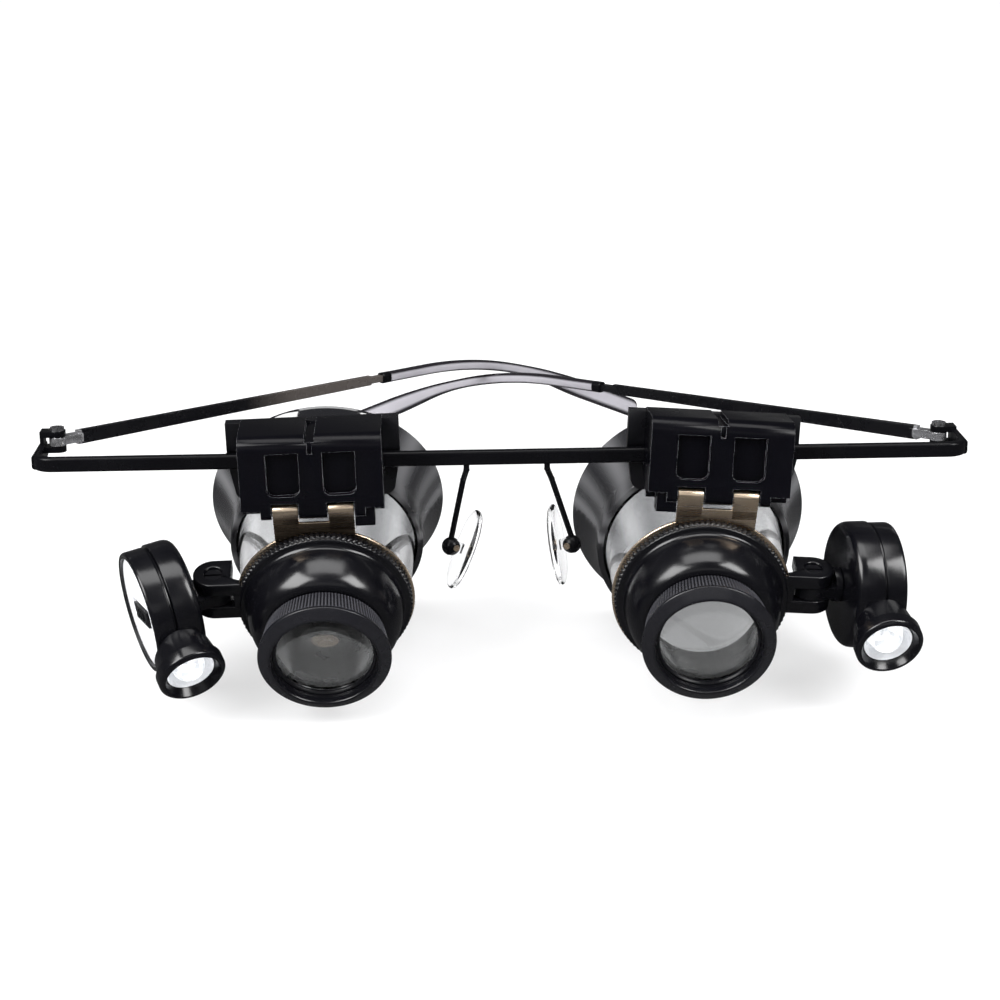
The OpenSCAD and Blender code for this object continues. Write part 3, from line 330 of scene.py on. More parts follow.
def stands_for(piece, body, *replaced):
    """Lets a piece ride on a body, and hides the solids that it stands for."""
    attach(piece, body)
    if replaced:
        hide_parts(*replaced)
    print(piece.name, len(piece.data.polygons), "faces on", body)
    return piece


# %% [markdown]
# ## Where things are
# The engineering model is a chain of poses: the frame leans back, each clip sits on the bar with
# its own roll and pitch, each loupe hangs from its hinge pin, and each lamp turns and tilts on its
# arm. The same chain is written here, so that every new surface lands on the solid that it stands
# for. The left side is a mirror image, so its x runs the other way.

# %% Sizes and poses
SIDES = {"left": -1, "right": 1}
CLIP_X = {"left": 28.7, "right": 32.2}
CLIP_ROLL, CLIP_PITCH = {"left": 1.5, "right": 3.9}, {"left": 2.8, "right": -5.0}
PIN_FRONT, PIN_BELOW, PIN_UP, FLIP, LOUPE_INSET = 8.3, 5.1, 16.8, 19.5, 0.8
FLANGE_T, KNUCKLE_D, SHEET_T = 1.7, 2.2, 0.5
CLEVIS = np.array([16.9, 3.4, 1.5])
ARM_LEN, LAMP_YAW, LAMP_PITCH = 8.7, {"left": -22.5, "right": 8.0}, {"left": 12.0, "right": 9.0}
HINGE_X, HINGE_BACK, HINGE_UP = 68.5, 8.6, {"left": 1.5, "right": 0.0}
FOLD, SAG = {"left": 41.3, "right": 40.9}, {"left": 0.8, "right": 1.4}
ARM_X, KNOB_OUT = {"left": 5.5, "right": 6.8}, {"left": 2.5, "right": 4.0}
KNOB_BACK, KNOB_DROP = 4.0, 15.3
PAD_TURN, PAD_TILT, BOSS_X = 20.0, {"left": 23.0, "right": 9.0}, -0.4


def move(x, y, z):
    """A shift as a 4 x 4 matrix."""
    made = np.eye(4)
    made[:3, 3] = x, y, z
    return made


def spin(axis, degrees):
    """A turn about one axis of the frame as a 4 x 4 matrix."""
    made, c, s = np.eye(4), math.cos(math.radians(degrees)), math.sin(math.radians(degrees))
    i, j = {"x": (1, 2), "y": (2, 0), "z": (0, 1)}[axis]
    made[i, i] = made[j, j] = c
    made[i, j], made[j, i] = -s, s
    return made


FRAME_POSE = move(0, -FOOTPRINT_BACK, BAR_LIFT) @ spin("x", -LEAN)
HANDED = {side: np.diag([sign, 1.0, 1.0, 1.0]) for side, sign in SIDES.items()}


def clip_pose(side):
    sign = SIDES[side]
    tilt = spin("y", sign * CLIP_ROLL[side]) @ spin("x", CLIP_PITCH[side])
    return FRAME_POSE @ move(sign * CLIP_X[side], 0, 0) @ tilt @ HANDED[side]


def loupe_pose(side):
    """Origin in the middle of the flange's front, y back along the axis of the loupe."""
    hinge = clip_pose(side) @ move(0, -PIN_FRONT, -PIN_BELOW) @ spin("x", FLIP)
    return hinge @ move(-LOUPE_INSET, -(FLANGE_T + KNUCKLE_D / 2), -PIN_UP)


def arm_pose(side):
    return loupe_pose(side) @ move(*CLEVIS) @ spin("z", LAMP_YAW[side])


def lamp_pose(side):
    """Origin in the middle of the cell case on its seam, x along the axis of the case."""
    return arm_pose(side) @ move(ARM_LEN, 0, 0) @ spin("x", LAMP_PITCH[side])


def temple_pose(side):
    """x along the temple, y across it, z through its thickness."""
    hinge = FRAME_POSE @ HANDED[side] @ move(HINGE_X, HINGE_BACK, HINGE_UP[side])
    return hinge @ spin("z", 180 - FOLD[side]) @ spin("y", SAG[side]) @ spin("x", 90)


def pad_pose(side):
    knob = FRAME_POSE @ HANDED[side] @ move(ARM_X[side] + KNOB_OUT[side], KNOB_BACK, -KNOB_DROP)
    return knob @ spin("z", -PAD_TURN) @ move(BOSS_X, 0, 0) @ spin("y", -PAD_TILT[side])


POSE_OF = {"loupe": loupe_pose, "barrel": loupe_pose, "lamp": lamp_pose, "temple": temple_pose,
           "nose_pad": pad_pose}


def fitted(side, name, grids, material, body, replaced=None, pose=None, sharp=38.0):
    """A piece on a body of its side. It stands for a solid of that side, if one is named."""
    pose = POSE_OF[body](side) if pose is None else pose
    piece = made_piece(name.format(side), grids, material, pose, sharp)
    return stands_for(piece, f"{body}_{side}", *([f"{replaced}_{side}"] if replaced else []))


print("loupe centres (mm):", {s: np.round(loupe_pose(s)[:3, 3], 1).tolist() for s in SIDES})

# %% [markdown]
# ## Shapes: turned parts
# Most parts of a loupe are turned: a profile of radius and distance along the axis goes round in a
# circle. Real edges are never sharp, so each corner of a profile is first rounded by a short curve.

# %% Profiles and turning
def full_turn(count):
    """Angles spread evenly over a full turn."""
    return np.linspace(0, 2 * np.pi, count, endpoint=False)


def lengths(vectors):
    return np.linalg.norm(vectors, axis=1, keepdims=True)


def rounded(corners, steps=5):
    """A closed profile from corners (radius, distance, rounding). Each corner becomes a quadratic
    curve that starts and ends its rounding away from the corner."""
    c = np.array(corners, float)
    p, cut = c[:, :2], c[:, 2:3]
    before, after = np.roll(p, 1, 0) - p, np.roll(p, -1, 0) - p
    near, far = lengths(before), lengths(after)
    a = p + before / near * np.minimum(cut, near * 0.45)
    b = p + after / far * np.minimum(cut, far * 0.45)
    t = np.linspace(0, 1, steps)[None, :, None]
    curve = (1 - t) ** 2 * a[:, None] + 2 * t * (1 - t) * p[:, None] + t ** 2 * b[:, None]
    return curve.reshape(-1, 2)


def subdivided(profile, longest):
    """Adds points to a closed profile, so that no stretch is longer than that."""
    parts = []
    for a, b in zip(profile, np.roll(profile, -1, 0)):
        count = max(1, math.ceil(np.linalg.norm(b - a) / longest))
        parts.append(a + (b - a) * np.linspace(0, 1, count, endpoint=False)[:, None])
    return np.concatenate(parts)


def turned(profile, around, axis="y", cut=None, closed=True):
    """Turns a profile: point = (radius cos a, distance, radius sin a) about y, or the same about x.
    The function cut(radius, distance, angle) may return a changed radius. A profile that isn't
    closed starts and ends on the axis."""
    angle = full_turn(around)[:, None]
    radius, along = (np.broadcast_to(profile[:, k], (around, len(profile))) for k in (0, 1))
    if cut:
        radius = cut(radius, along, angle)
    across = [radius * np.cos(angle), radius * np.sin(angle)]
    order = [across[0], along, across[1]] if axis == "y" else [along, *across]
    return np.stack(order, -1), True, closed, False


def bump_wave(angle, count, sharpness=0.6):
    """A row of ribs round a circle: 1 on a rib's back and 0 in the groove between two ribs."""
    return (0.5 + 0.5 * np.cos(angle * count)) ** sharpness


# %% [markdown]
# ## Front ring
# The front ring has a flange with fine teeth round its back edge, and an ogee dome that runs
# forward to the neck of the focusing barrel. The teeth are a wave in the radius, which only acts on
# the outer band of the flange.

# %% Front rings
FLANGE_R, DOME_R, DOME_LEN, NECK_R, BORE_R, SOCKET_R, TEETH = 13.35, 11.9, 6.9, 9.0, 8.2, 10.55, 98


def dome_profile():
    """Bore, ogee front, flange with a chamfer, toothed edge and the seat behind."""
    a = np.linspace(90, 6, 22)
    ogee = np.stack([NECK_R + (DOME_R - NECK_R) * np.cos(np.radians(a)),
                     -0.8 - (DOME_LEN - 0.8) * np.sin(np.radians(a)) ** 1.15], 1)
    corners = [(BORE_R, 0.2, 0.1), (BORE_R, -DOME_LEN, 0.15)] + [(r, s, 0.12) for r, s in ogee]
    corners += [(DOME_R, -0.5, 0.3), (12.35, 0.0, 0.25), (12.85, 0.0, 0.2), (13.12, 0.3, 0.15),
                (13.12, 0.55, 0.05), (FLANGE_R, 0.68, 0.08), (FLANGE_R, FLANGE_T - 0.1, 0.08),
                (13.1, FLANGE_T, 0.1), (SOCKET_R, FLANGE_T, 0.1), (SOCKET_R, 0.2, 0.1)]
    return rounded(corners, 3)


def flange_teeth(radius, along, angle):
    """Lowers the radius between the teeth, only on the outer band."""
    band = np.clip((radius - 13.0) / 0.2, 0, 1)
    return radius - 0.3 * band * (1 - bump_wave(angle, TEETH))


for side in SIDES:
    dome = turned(dome_profile(), TEETH * 8, cut=flange_teeth)
    fitted(side, "dome_{}", [dome], GLOSS_BLACK, "loupe", "front_ring")

# %% [markdown]
# ## Plates with a rounded edge
# The ears of the lamp's clevis, the sheet of the bracket and the silver cell cover are flat plates.
# A plate is a few rings of one outline, drawn in a little at the top and the bottom, which makes a
# small bevel. A second outline makes a hole.

# %% Plate helper
TINY = 1e-9


def arc(radius, angles, centre=(0, 0)):
    """Points on a circle at those angles."""
    return np.stack([centre[0] + radius * np.cos(angles), centre[1] + radius * np.sin(angles)], 1)


def drawn_in(outline, by):
    """Moves each point of a closed outline inwards, along the mean of its two edge normals."""
    before, after = outline - np.roll(outline, 1, 0), np.roll(outline, -1, 0) - outline
    mean = sum(v / np.maximum(lengths(v), TINY) for v in (before, after))
    mean /= np.maximum(lengths(mean), TINY)
    x, y = outline.T
    area = np.sum(x * np.roll(y, -1) - y * np.roll(x, -1))
    inward = np.stack([-mean[:, 1], mean[:, 0]], 1) * np.sign(area)
    return outline + inward * by


def plate(outline, low, high, bevel, normal="z", hole=None):
    """A plate between two heights, with a quarter circle at the edge of both faces. With a hole,
    the rings go on down its wall, which has as many points as the outline."""
    q = np.linspace(0, np.pi / 2, 4)
    steps = list(zip(bevel * (1 - np.sin(q)), bevel * (1 - np.cos(q))))
    rings = [(drawn_in(outline, by), low + lift) for by, lift in steps]
    rings += [(drawn_in(outline, by), high - lift) for by, lift in steps[::-1]]
    if hole is not None:
        rings += [(drawn_in(hole, -by), high - lift) for by, lift in steps]
        rings += [(drawn_in(hole, -by), low + lift) for by, lift in steps[::-1]]
    flat = np.stack([np.concatenate([r, np.full((len(r), 1), h)], 1) for r, h in rings])
    order = {"z": (0, 1, 2), "x": (2, 0, 1), "y": (0, 2, 1)}[normal]
    return flat[..., order], hole is not None, True, hole is None


def evenly(outline, count):
    """Points spread evenly over the length of a closed outline, and starting at its first point."""
    closed = np.concatenate([outline, outline[:1]])
    along = np.concatenate([[0], np.cumsum(np.linalg.norm(np.diff(closed, axis=0), axis=1))])
    at = np.linspace(0, along[-1], count, endpoint=False)
    return np.stack([np.interp(at, along, closed[:, k]) for k in (0, 1)], 1)


# %% [markdown]
# ## Clevis of the lamp
# Two ears grow out of the flange, with the tongue of the lamp's arm between them. Both are bored
# for the pivot screw, and the upper one for its head. The outline of an ear is half a circle on two
# straight sides.

# %% Clevis
CLEVIS_H, CLEVIS_D, CLEVIS_SLOT, PIVOT_HEAD, PIVOT_R = 6.6, 6.2, 2.2, 1.4, 0.95


def ear_outline(count):
    """Half a circle round the pivot and a straight part back to the flange, from the back."""
    front, back = CLEVIS[1] - CLEVIS_D / 2, CLEVIS[1] + CLEVIS_D / 2
    half = arc(CLEVIS_D / 2, np.radians(np.linspace(90, -90, 40)), CLEVIS)
    inner = np.array([[12.6, front], [12.6, 1.55], [14.15, 2.2], [14.15, back]])
    return evenly(np.concatenate([half, inner])[::-1], count)


def hole_facing(outline, radius, centre):
    """A circle whose points face those of an outline, so that the plate between isn't twisted."""
    return arc(radius, np.arctan2(outline[:, 1] - centre[1], outline[:, 0] - centre[0]), centre)


for side in SIDES:
    ear = ear_outline(96)
    low, high = CLEVIS[2] - CLEVIS_H / 2, CLEVIS[2] + CLEVIS_H / 2
    web = rounded([(12.2, 0.35, 0.2), (13.9, 0.35, 0.2), (13.9, 1.65, 0.05), (12.2, 1.65, 0.05)])
    head, shank = (hole_facing(ear, radius, CLEVIS) for radius in (PIVOT_HEAD, PIVOT_R))
    grids = [plate(ear, CLEVIS[2] + CLEVIS_SLOT / 2, high, 0.25, hole=head),
             plate(ear, low, CLEVIS[2] - CLEVIS_SLOT / 2, 0.25, hole=shank),
             plate(web, low + 0.3, high - 0.3, 0.1)]
    fitted(side, "clevis_{}", grids, GLOSS_BLACK, "loupe", "front_ring")

# %% [markdown]
# ## Focusing barrel
# The barrel screws in the dome to focus. Its grip is a cone with fine lengthwise ribs, again a wave
# in the radius, which fades out at both ends. In front are a plain bevel and a polished rim.

# %% Focusing barrels
RIM_R, RIM_AHEAD, LENS_OPEN_R, LENS_SEAT_R, RIBS = 10.0, 12.8, 8.0, 7.8, 118
LENS_BACK, GRIP_R = -8.6, (9.86, 9.2)
GRIP_BACK, GRIP_FRONT = -DOME_LEN - 0.25, -RIM_AHEAD + 1.65


def barrel_profile():
    """Neck, ribbed cone, bevel, rim, recess of the lens and the bore behind it."""
    corners = [(7.0, -1.2, 0.1), (8.1, -1.2, 0.2), (8.1, -DOME_LEN - 0.1, 0.05),
               (NECK_R, GRIP_BACK, 0.1), (GRIP_R[1], GRIP_BACK - 0.2, 0.1),
               (GRIP_R[0], GRIP_FRONT, 0.12), (RIM_R, GRIP_FRONT - 0.2, 0.08),
               (RIM_R, -RIM_AHEAD + 1.05, 0.1), (8.42, -RIM_AHEAD, 0.12), (8.1, -RIM_AHEAD, 0.08),
               (LENS_OPEN_R, -RIM_AHEAD + 0.2, 0.06), (LENS_OPEN_R, -11.5, 0.03),
               (LENS_SEAT_R, -11.5, 0.03), (LENS_SEAT_R, LENS_BACK, 0.05), (7.0, LENS_BACK, 0.1)]
    return subdivided(rounded(corners, 4), 0.45)


def grip_ribs(radius, along, angle):
    """Lowers the radius between the ribs of the grip, fading at the grip's two ends."""
    inside = np.clip((along - GRIP_FRONT) / 0.3, 0, 1) * np.clip((GRIP_BACK - along) / 0.3, 0, 1)
    outer = (radius > 8.9).astype(float)
    return radius - 0.24 * inside * outer * (1 - bump_wave(angle, RIBS, 0.8))


def keep_painted_crest_highlight(piece, side):
    """Marks the crests of the ribs, and less strongly the bevel in front of them, for a painted
    highlight in their colour.
    """
    local = local_points(piece, loupe_pose(side))
    radius, along = np.hypot(local[:, 0], local[:, 2]), local[:, 1]
    cone = np.interp(along, [GRIP_FRONT, GRIP_BACK], GRIP_R)
    on_grip = (along > GRIP_FRONT) & (along < GRIP_BACK - 0.1) & (radius > 8.8)
    on_bevel = (along < -RIM_AHEAD + 1.1) & (radius > 8.45)
    keep_value(piece, "painted_crest_highlight", np.where(on_grip, (radius - cone + 0.2) / 0.2, 0.06 * on_bevel))


for side in SIDES:
    ribbed = turned(barrel_profile(), RIBS * 6, cut=grip_ribs)
    barrel = fitted(side, "barrel_{}_ribbed", [ribbed], RIB_BLACK, "barrel", "objective_barrel")
    keep_painted_crest_highlight(barrel, side)

# %% [markdown]
# ## Lenses and their ring
# A lens is two spherical caps and a ground edge. The depth at a radius follows from the ball that
# goes through the middle and the edge. The lenses are worked out finely, because facets would show
# in what is seen through them.

# %% Lenses
TUBE_BACK = 19.8


def lens_profile(radius, thick, edge, back):
    """Profile of a lens whose back middle is at a distance along the axis: each cap's depth is
    ball - sqrt(ball^2 - r^2), where the ball's radius comes from the rise of the cap."""
    rise = (thick - edge) / 2
    ball = (radius ** 2 + rise ** 2) / (2 * rise)
    r = radius * np.sin(np.linspace(0, np.pi / 2, 26))
    depth = ball - np.sqrt(ball ** 2 - r ** 2)
    front = np.stack([r, back - thick + depth], 1)
    behind = np.stack([r, back - depth], 1)[::-1]
    return np.concatenate([front, behind])


for side in SIDES:
    front = turned(lens_profile(7.75, 2.6, 1.0, LENS_BACK), 128, closed=False)
    fitted(side, "front_lens_{}", [front], LENS_GLASS, "barrel", "objective_lens")
    back = turned(lens_profile(12.7, 3.0, 1.3, TUBE_BACK), 128, closed=False)
    fitted(side, "back_lens_{}", [back], LENS_GLASS, "loupe", "eye_lens")
    hold = rounded([(7.75, -10.65, 0.05), (7.75, -11.35, 0.06), (7.55, -11.35, 0.06),
                    (7.3, -11.1, 0.08), (7.3, -10.65, 0.05)])
    fitted(side, "lens_holder_{}", [turned(hold, 160)], PLATE_BLACK, "barrel", "lens_ring")

# %% [markdown]
# ## Clear tube and eyecup
# Behind the bracket a clear cone widens to the eyecup. The eyecup flares out like a bell, and its
# rim is a full round. The wall of the cone is thick. Dark bands painted on it are painted
# reflections, and light bands along the eyecup are a painted sheen. Both are bands round the axis,
# kept as an attribute from 0 to 1.

# %% Tube and eyecup
# Bands of painted light: dark reflections on the tube and a lighter sheen on the eyecup.
TUBE_PAINTED_REFLECTIONS = [(90, 26, 0.9), (132, 16, 0.7), (166, 10, 0.9),
           (46, 5, 0.4), (14, 10, 0.8), (-90, 40, 0.5)]
CUP_PAINTED_SHEEN = [(22, 5, 0.9), (38, 7, 0.4), (142, 7, 0.8), (163, 5, 0.6), (176, 4, 0.9), (-8, 6, 0.5)]


def tube_profile():
    back = FLANGE_T + SHEET_T
    return rounded([(10.5, 0.3, 0.05), (10.5, back, 0.02), (12.9, back, 0.15),
                    (14.2, TUBE_BACK, 0.1), (12.75, TUBE_BACK, 0.05), (12.75, 16.7, 0.05),
                    (11.4, 16.7, 0.1), (9.3, back + 1, 0.3), (9.3, 0.3, 0.05)])


def eyecup_profile():
    """Sleeve, flared outside, round rim, flared inside and the lip behind the eye lens. Both flares
    follow radius = start + growth * q^1.5 as q runs from 0 to 1."""
    q = np.linspace(0, 0.97, 24)
    outside = np.stack([15.15 + 3.55 * q ** 1.5, 18.35 + 8.45 * q], 1)
    inside = np.stack([13.25 + 4.25 * q ** 1.5, 20.65 + 6.15 * q], 1)[::-1]
    t = np.linspace(0.1, np.pi - 0.1, 9)
    middle, half = (outside[-1] + inside[0]) / 2, np.linalg.norm(outside[-1] - inside[0]) / 2
    across = (outside[-1] - inside[0]) / (2 * half)
    forward = np.array([-across[1], across[0]])
    rim = middle + half * (np.cos(t)[:, None] * across + 0.35 * np.sin(t)[:, None] * forward)
    sleeve = np.array([[14.25, TUBE_BACK], [14.25, 14.8], [14.95, 14.8], [15.15, 15.05]])
    lip = np.array([[11.65, 20.65], [11.5, 20.5], [11.5, 19.85], [14.2, 19.85]])
    return np.concatenate([sleeve, outside, rim, inside, lip])


def keep_painted_bands(piece, side, streaks):
    """Marks bands of painted light along a turned part: share * exp(-((angle - middle) / width)^2)
    in degrees.
    """
    local = local_points(piece, loupe_pose(side))
    angle = np.degrees(np.arctan2(local[:, 2], local[:, 0]))
    bands = (share * np.exp(-((angle - middle) / width) ** 2) for middle, width, share in streaks)
    keep_value(piece, "painted_band", sum(bands))


for side in SIDES:
    tube = fitted(side, "cone_{}", [turned(tube_profile(), 192)], TUBE_CLEAR, "loupe", "tube_body")
    keep_painted_bands(tube, side, TUBE_PAINTED_REFLECTIONS)
    bell = turned(eyecup_profile(), 192)
    cup = fitted(side, "bell_eyecup_{}", [bell], CUP_BLACK, "loupe", "eyecup", sharp=60.0)
    keep_painted_bands(cup, side, CUP_PAINTED_SHEEN)

# %% [markdown]
# ## Hinge bracket
# The bracket is cut from sheet: a ring behind the flange, a tab above it, and two strips that are
# curled round the hinge pin. A curl is the side view of such a strip, made as wide as the knuckle.
# The left tab is darker than the right one by a painted shade, which is an attribute too.

# %% Hinge brackets
TAB_W, KNUCKLE_W, SHEET_R, CURL_T = 12.1, 3.8, 13.65, 0.5
SHADED = {"left": 0.8, "right": 0.1}


def curl_outline():
    """Side view of a strip: up along the front, then 285 degrees round the pin."""
    centre, outer = (FLANGE_T + KNUCKLE_D / 2, PIN_UP), KNUCKLE_D / 2
    a = np.radians(np.linspace(180, -105, 40))
    out, inn = arc(outer, a, centre), arc(outer - CURL_T, a[::-1], centre)
    foot = [[FLANGE_T, 13.6], [FLANGE_T, PIN_UP - 0.9]]
    return np.concatenate([foot, out, inn, [[FLANGE_T + CURL_T, 13.6]]])


def tab_outline():
    """Front view of the tab between the ring and the knuckles, with small rounded shoulders."""
    start, end, low, top = LOUPE_INSET - TAB_W / 2, LOUPE_INSET + TAB_W / 2, 11.6, PIN_UP - 1.7
    return rounded([(start, low, 0.3), (end, low, 0.3), (end, top, 0.25), (start, top, 0.25)])


for side in SIDES:
    back = FLANGE_T + SHEET_T
    ring = rounded([(SOCKET_R, FLANGE_T, 0.05), (SHEET_R, FLANGE_T, 0.18), (SHEET_R, back, 0.18),
                    (SOCKET_R, back, 0.05)])
    grids = [turned(ring, 192), plate(tab_outline(), FLANGE_T, back, 0.12, normal="y")]
    for start in (LOUPE_INSET - TAB_W / 2, LOUPE_INSET + TAB_W / 2 - KNUCKLE_W):
        grids.append(plate(curl_outline(), start, start + KNUCKLE_W, 0.06, normal="x"))
    bracket = fitted(side, "bracket_{}", grids, BRACKET_GOLD, "loupe", "hinge_bracket")
    # A painted shade on the tab, strong on the left and faint on the right.
    local = local_points(bracket, loupe_pose(side))
    on_tab = (local[:, 1] < FLANGE_T + 0.03) & (local[:, 2] > 11.5) & (local[:, 2] < PIN_UP - 0.8)
    keep_value(bracket, "shade", SHADED[side] * on_tab)

# %% [markdown]
# ## Moulded and pressed parts that keep their solid
# The clips, the plates, the lamp's tongue, the slide switch, the temples and the bar have the right
# shape, but perfectly sharp edges. A copy of such a solid is merged, its flat faces are joined, and
# a Bevel modifier rounds every edge, which then shows a thin bright line.

# %% Softened copies
FLAT, SHARP = math.radians(1.0), math.radians(34.0)


def softened(node, name, material, width, body, segments=3, edge=None):
    """A merged copy of a solid with rounded edges, which stands for the solid."""
    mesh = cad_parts[node].data.copy()
    mesh.name = name
    work = bmesh.new()
    work.from_mesh(mesh)
    bmesh.ops.remove_doubles(work, verts=work.verts, dist=1e-6)
    bmesh.ops.dissolve_limit(work, angle_limit=FLAT, verts=work.verts, edges=work.edges)
    work.to_mesh(mesh)
    work.free()
    mesh.materials.clear()
    mesh.materials.append(material)
    mesh.polygons.foreach_set("use_smooth", np.ones(len(mesh.polygons), bool))
    piece = put(name, mesh)
    bevel = piece.modifiers.new("edge", "BEVEL")
    bevel.width, bevel.segments = width / 1000, segments
    bevel.limit_method, bevel.angle_limit = "ANGLE", SHARP
    bevel.harden_normals = True
    # A second material, if given, colours the bevel faces as a painted highlight.
    if edge:
        mesh.materials.append(edge)
        bevel.material = 1
    stands_for(piece, body, node)


for side in SIDES:
    clip, arm, switch = (f"{body}_{side}" for body in ("clip", "arm", "switch"))
    # The clip's bevel faces take the lighter edge grey, a painted highlight.
    softened(f"clip_cover_{side}", f"clip_block_{side}", CLIP_BLACK, 0.26, clip, edge=EDGE_PAINTED_HIGHLIGHT)
    softened(f"clip_plate_{side}", f"clamp_{side}", PLATE_BLACK, 0.3, clip)
    softened(f"lamp_arm_{side}", f"tongue_{side}", PLATE_BLACK, 0.12, arm)
    softened(f"lamp_switch_{side}", f"slider_{side}", PLATE_BLACK, 0.1, switch, segments=2)

# %% [markdown]
# ## Cell case
# Each lamp has a round case for a coin cell, in two halves with a seam. The outer half holds a
# silver cover with a long slot for the slide switch. The halves are turned about the case's own
# axis, which points sideways.

# %% Cell cases
CASE_R, CASE_IN, CASE_OUT, CAP_R, SLOT_TURN = 9.7, 4.2, 3.6, 8.6, 35.0
OUTER_R, SEAT_R, CELL_R, CAP_LOW, CAP_HIGH = 9.45, 8.65, 8.2, 2.3, 3.1


def inner_profile():
    return rounded([(CAP_R, 0.0, 0.05), (CASE_R, 0.0, 0.12), (CASE_R, -CASE_IN, 1.7),
                    (1.3, -CASE_IN, 0.1), (1.3, -3.1, 0.05), (CAP_R, -3.1, 0.3)], 9)


def outer_profile():
    return rounded([(CELL_R, 0.06, 0.02), (9.2, 0.06, 0.03), (9.25, 0.4, 0.06), (OUTER_R, 0.5, 0.1),
                    (OUTER_R, CASE_OUT, 0.7), (SEAT_R, CASE_OUT, 0.08), (SEAT_R, CAP_LOW, 0.02),
                    (CELL_R, CAP_LOW, 0.02)], 7)


def slot_outline(count):
    """The slot of the cover, seen along the case's axis: y along the slot and z across it."""
    half, high = 5.25, 1.4
    corners = [(half, -high, 0.35), (half, high, 0.35), (-half, high, 0.35), (-half, -high, 0.35)]
    return evenly(rounded(corners), count)


for side in SIDES:
    for half, profile in (("inner", inner_profile()), ("outer", outer_profile())):
        grids = [turned(profile, 160, axis="x")]
        fitted(side, f"case_{half}_{{}}", grids, GLOSS_BLACK, "lamp", f"lamp_{half}_shell")
    slot = slot_outline(240)
    disc = hole_facing(slot, CAP_R, (0, 0))
    face = plate(disc, CAP_LOW, CAP_HIGH, 0.12, normal="x", hole=slot)
    lid_pose = lamp_pose(side) @ spin("x", -SLOT_TURN)
    fitted(side, "silver_lid_{}", [face], COVER_SILVER, "lamp", "battery_cover", lid_pose)

# %% [markdown]
# ## Lamp barrel and diode
# The barrel of the lamp grows out of the round rim of the case. That rim's distance from the middle
# at an angle is sqrt(R^2 - (r sin a)^2), and the first rings of the barrel take it. In front is a
# bell with a rounded rim. A thin white reflector lines it, and the lit dome sits in the middle.

# %% Lamp barrels and diodes
BELL_AHEAD, BELL_R, BARREL_R, BORE_END_R, LED_D = 14.5, 5.2, 4.4, 3.0, 5.0


def bell_grid(around):
    """Rows run round the barrel. The first two columns lie on the case, the others are turned."""
    corners = [(BARREL_R, CASE_R, 0.0), (4.85, 12.1, 0.08), (BELL_R, 12.35, 0.08),
               (BELL_R, 14.05, 0.2), (4.75, BELL_AHEAD, 0.15), (4.42, BELL_AHEAD, 0.08),
               (3.05, 11.6, 0.2), (BORE_END_R, 10.4, 0.0)]
    curve = np.concatenate([rounded(corners)[5:], [(2.9, 10.35)]])
    angle = full_turn(around)[:, None]
    even = np.ones((around, 1))
    saddle = np.sqrt((CASE_R - 0.1) ** 2 - (BARREL_R * np.sin(angle)) ** 2)
    radius = np.concatenate([BORE_END_R * even, BARREL_R * even, even * curve[:, 0]], 1)
    ahead = np.concatenate([saddle, saddle, even * curve[:, 1]], 1)
    return np.stack([radius * np.cos(angle), -ahead, radius * np.sin(angle)], -1), True, True, False


def dome_light_profile():
    """A cylinder and half a ball, from the middle of the back to the tip."""
    a = np.linspace(0, np.pi / 2, 16)
    ball = arc(LED_D / 2, a, (0, 11.9))
    body = np.array([[0, 10.3], [2.95, 10.3], [2.95, 11.0], [2.85, 11.1], [2.5, 11.1]])
    made = np.concatenate([body, ball])
    made[-1, 0] = 0
    return made * [1, -1]


for side in SIDES:
    fitted(side, "bell_{}", [bell_grid(128)], GLOSS_BLACK, "lamp", "led_barrel")
    dish = rounded([(2.97, -11.15, 0.02), (2.99, -11.6, 0.1), (3.7, -13.2, 0.03),
                    (3.58, -13.22, 0.03), (2.88, -11.65, 0.1), (2.86, -11.15, 0.02)])
    fitted(side, "reflector_{}", [turned(dish, 128)], REFLECTOR_WHITE, "lamp")
    diode = turned(dome_light_profile(), 64, closed=False)
    fitted(side, "diode_{}", [diode], LED_WHITE, "lamp", "led")

# %% [markdown]
# ## Ear tips
# An ear tip is a moulded sleeve on the temple's wire, which is slim at first and ends in a rounded
# paddle. Its section is a superellipse, between an ellipse and a rectangle, and is carried along
# the same bent middle line as in the engineering model.

# %% Ear tips
BEND, BEND_START, BEND_R, TIP_START, TEMPLE_LEN = 22.7, 75.7, 80.0, 66.0, 132.0
TIP_H, PADDLE_H, TIP_T, SLIM_END, PADDLE_START = 1.8, 3.4, 2.0, 97.0, 117.0


def temple_line(u):
    """Points and directions of the middle line at distances u: straight, an arc, straight again."""
    bent = BEND_R * math.radians(BEND)
    a = np.clip(u - BEND_START, 0, bent) / BEND_R
    after = np.maximum(u - BEND_START - bent, 0)
    x = np.minimum(u, BEND_START) + BEND_R * np.sin(a) + after * np.cos(a)
    y = -BEND_R * (1 - np.cos(a)) - after * np.sin(a)
    return np.stack([x, y], 1), a


def round_end(u, size):
    """1 along the tip, and a quarter of a circle down to 0 over the last half of that size."""
    left = np.clip(TEMPLE_LEN - u, 0, size / 2) / (size / 2)
    return np.sqrt(np.maximum(1 - (1 - left) ** 2, 0))


def half_height(u):
    """Half the height of the tip: a smooth step from slim to paddle, and a round end."""
    grow = np.clip((u - SLIM_END) / (PADDLE_START - SLIM_END), 0, 1)
    plain = TIP_H / 2 + (PADDLE_H - TIP_H) / 2 * (1 - np.cos(np.pi * grow)) / 2
    return plain * round_end(u, PADDLE_H)


def superellipse(t, power):
    """Points on |x|^power + |y|^power = 1."""
    return [np.sign(wave) * np.abs(wave) ** (2 / power) for wave in (np.cos(t), np.sin(t))]


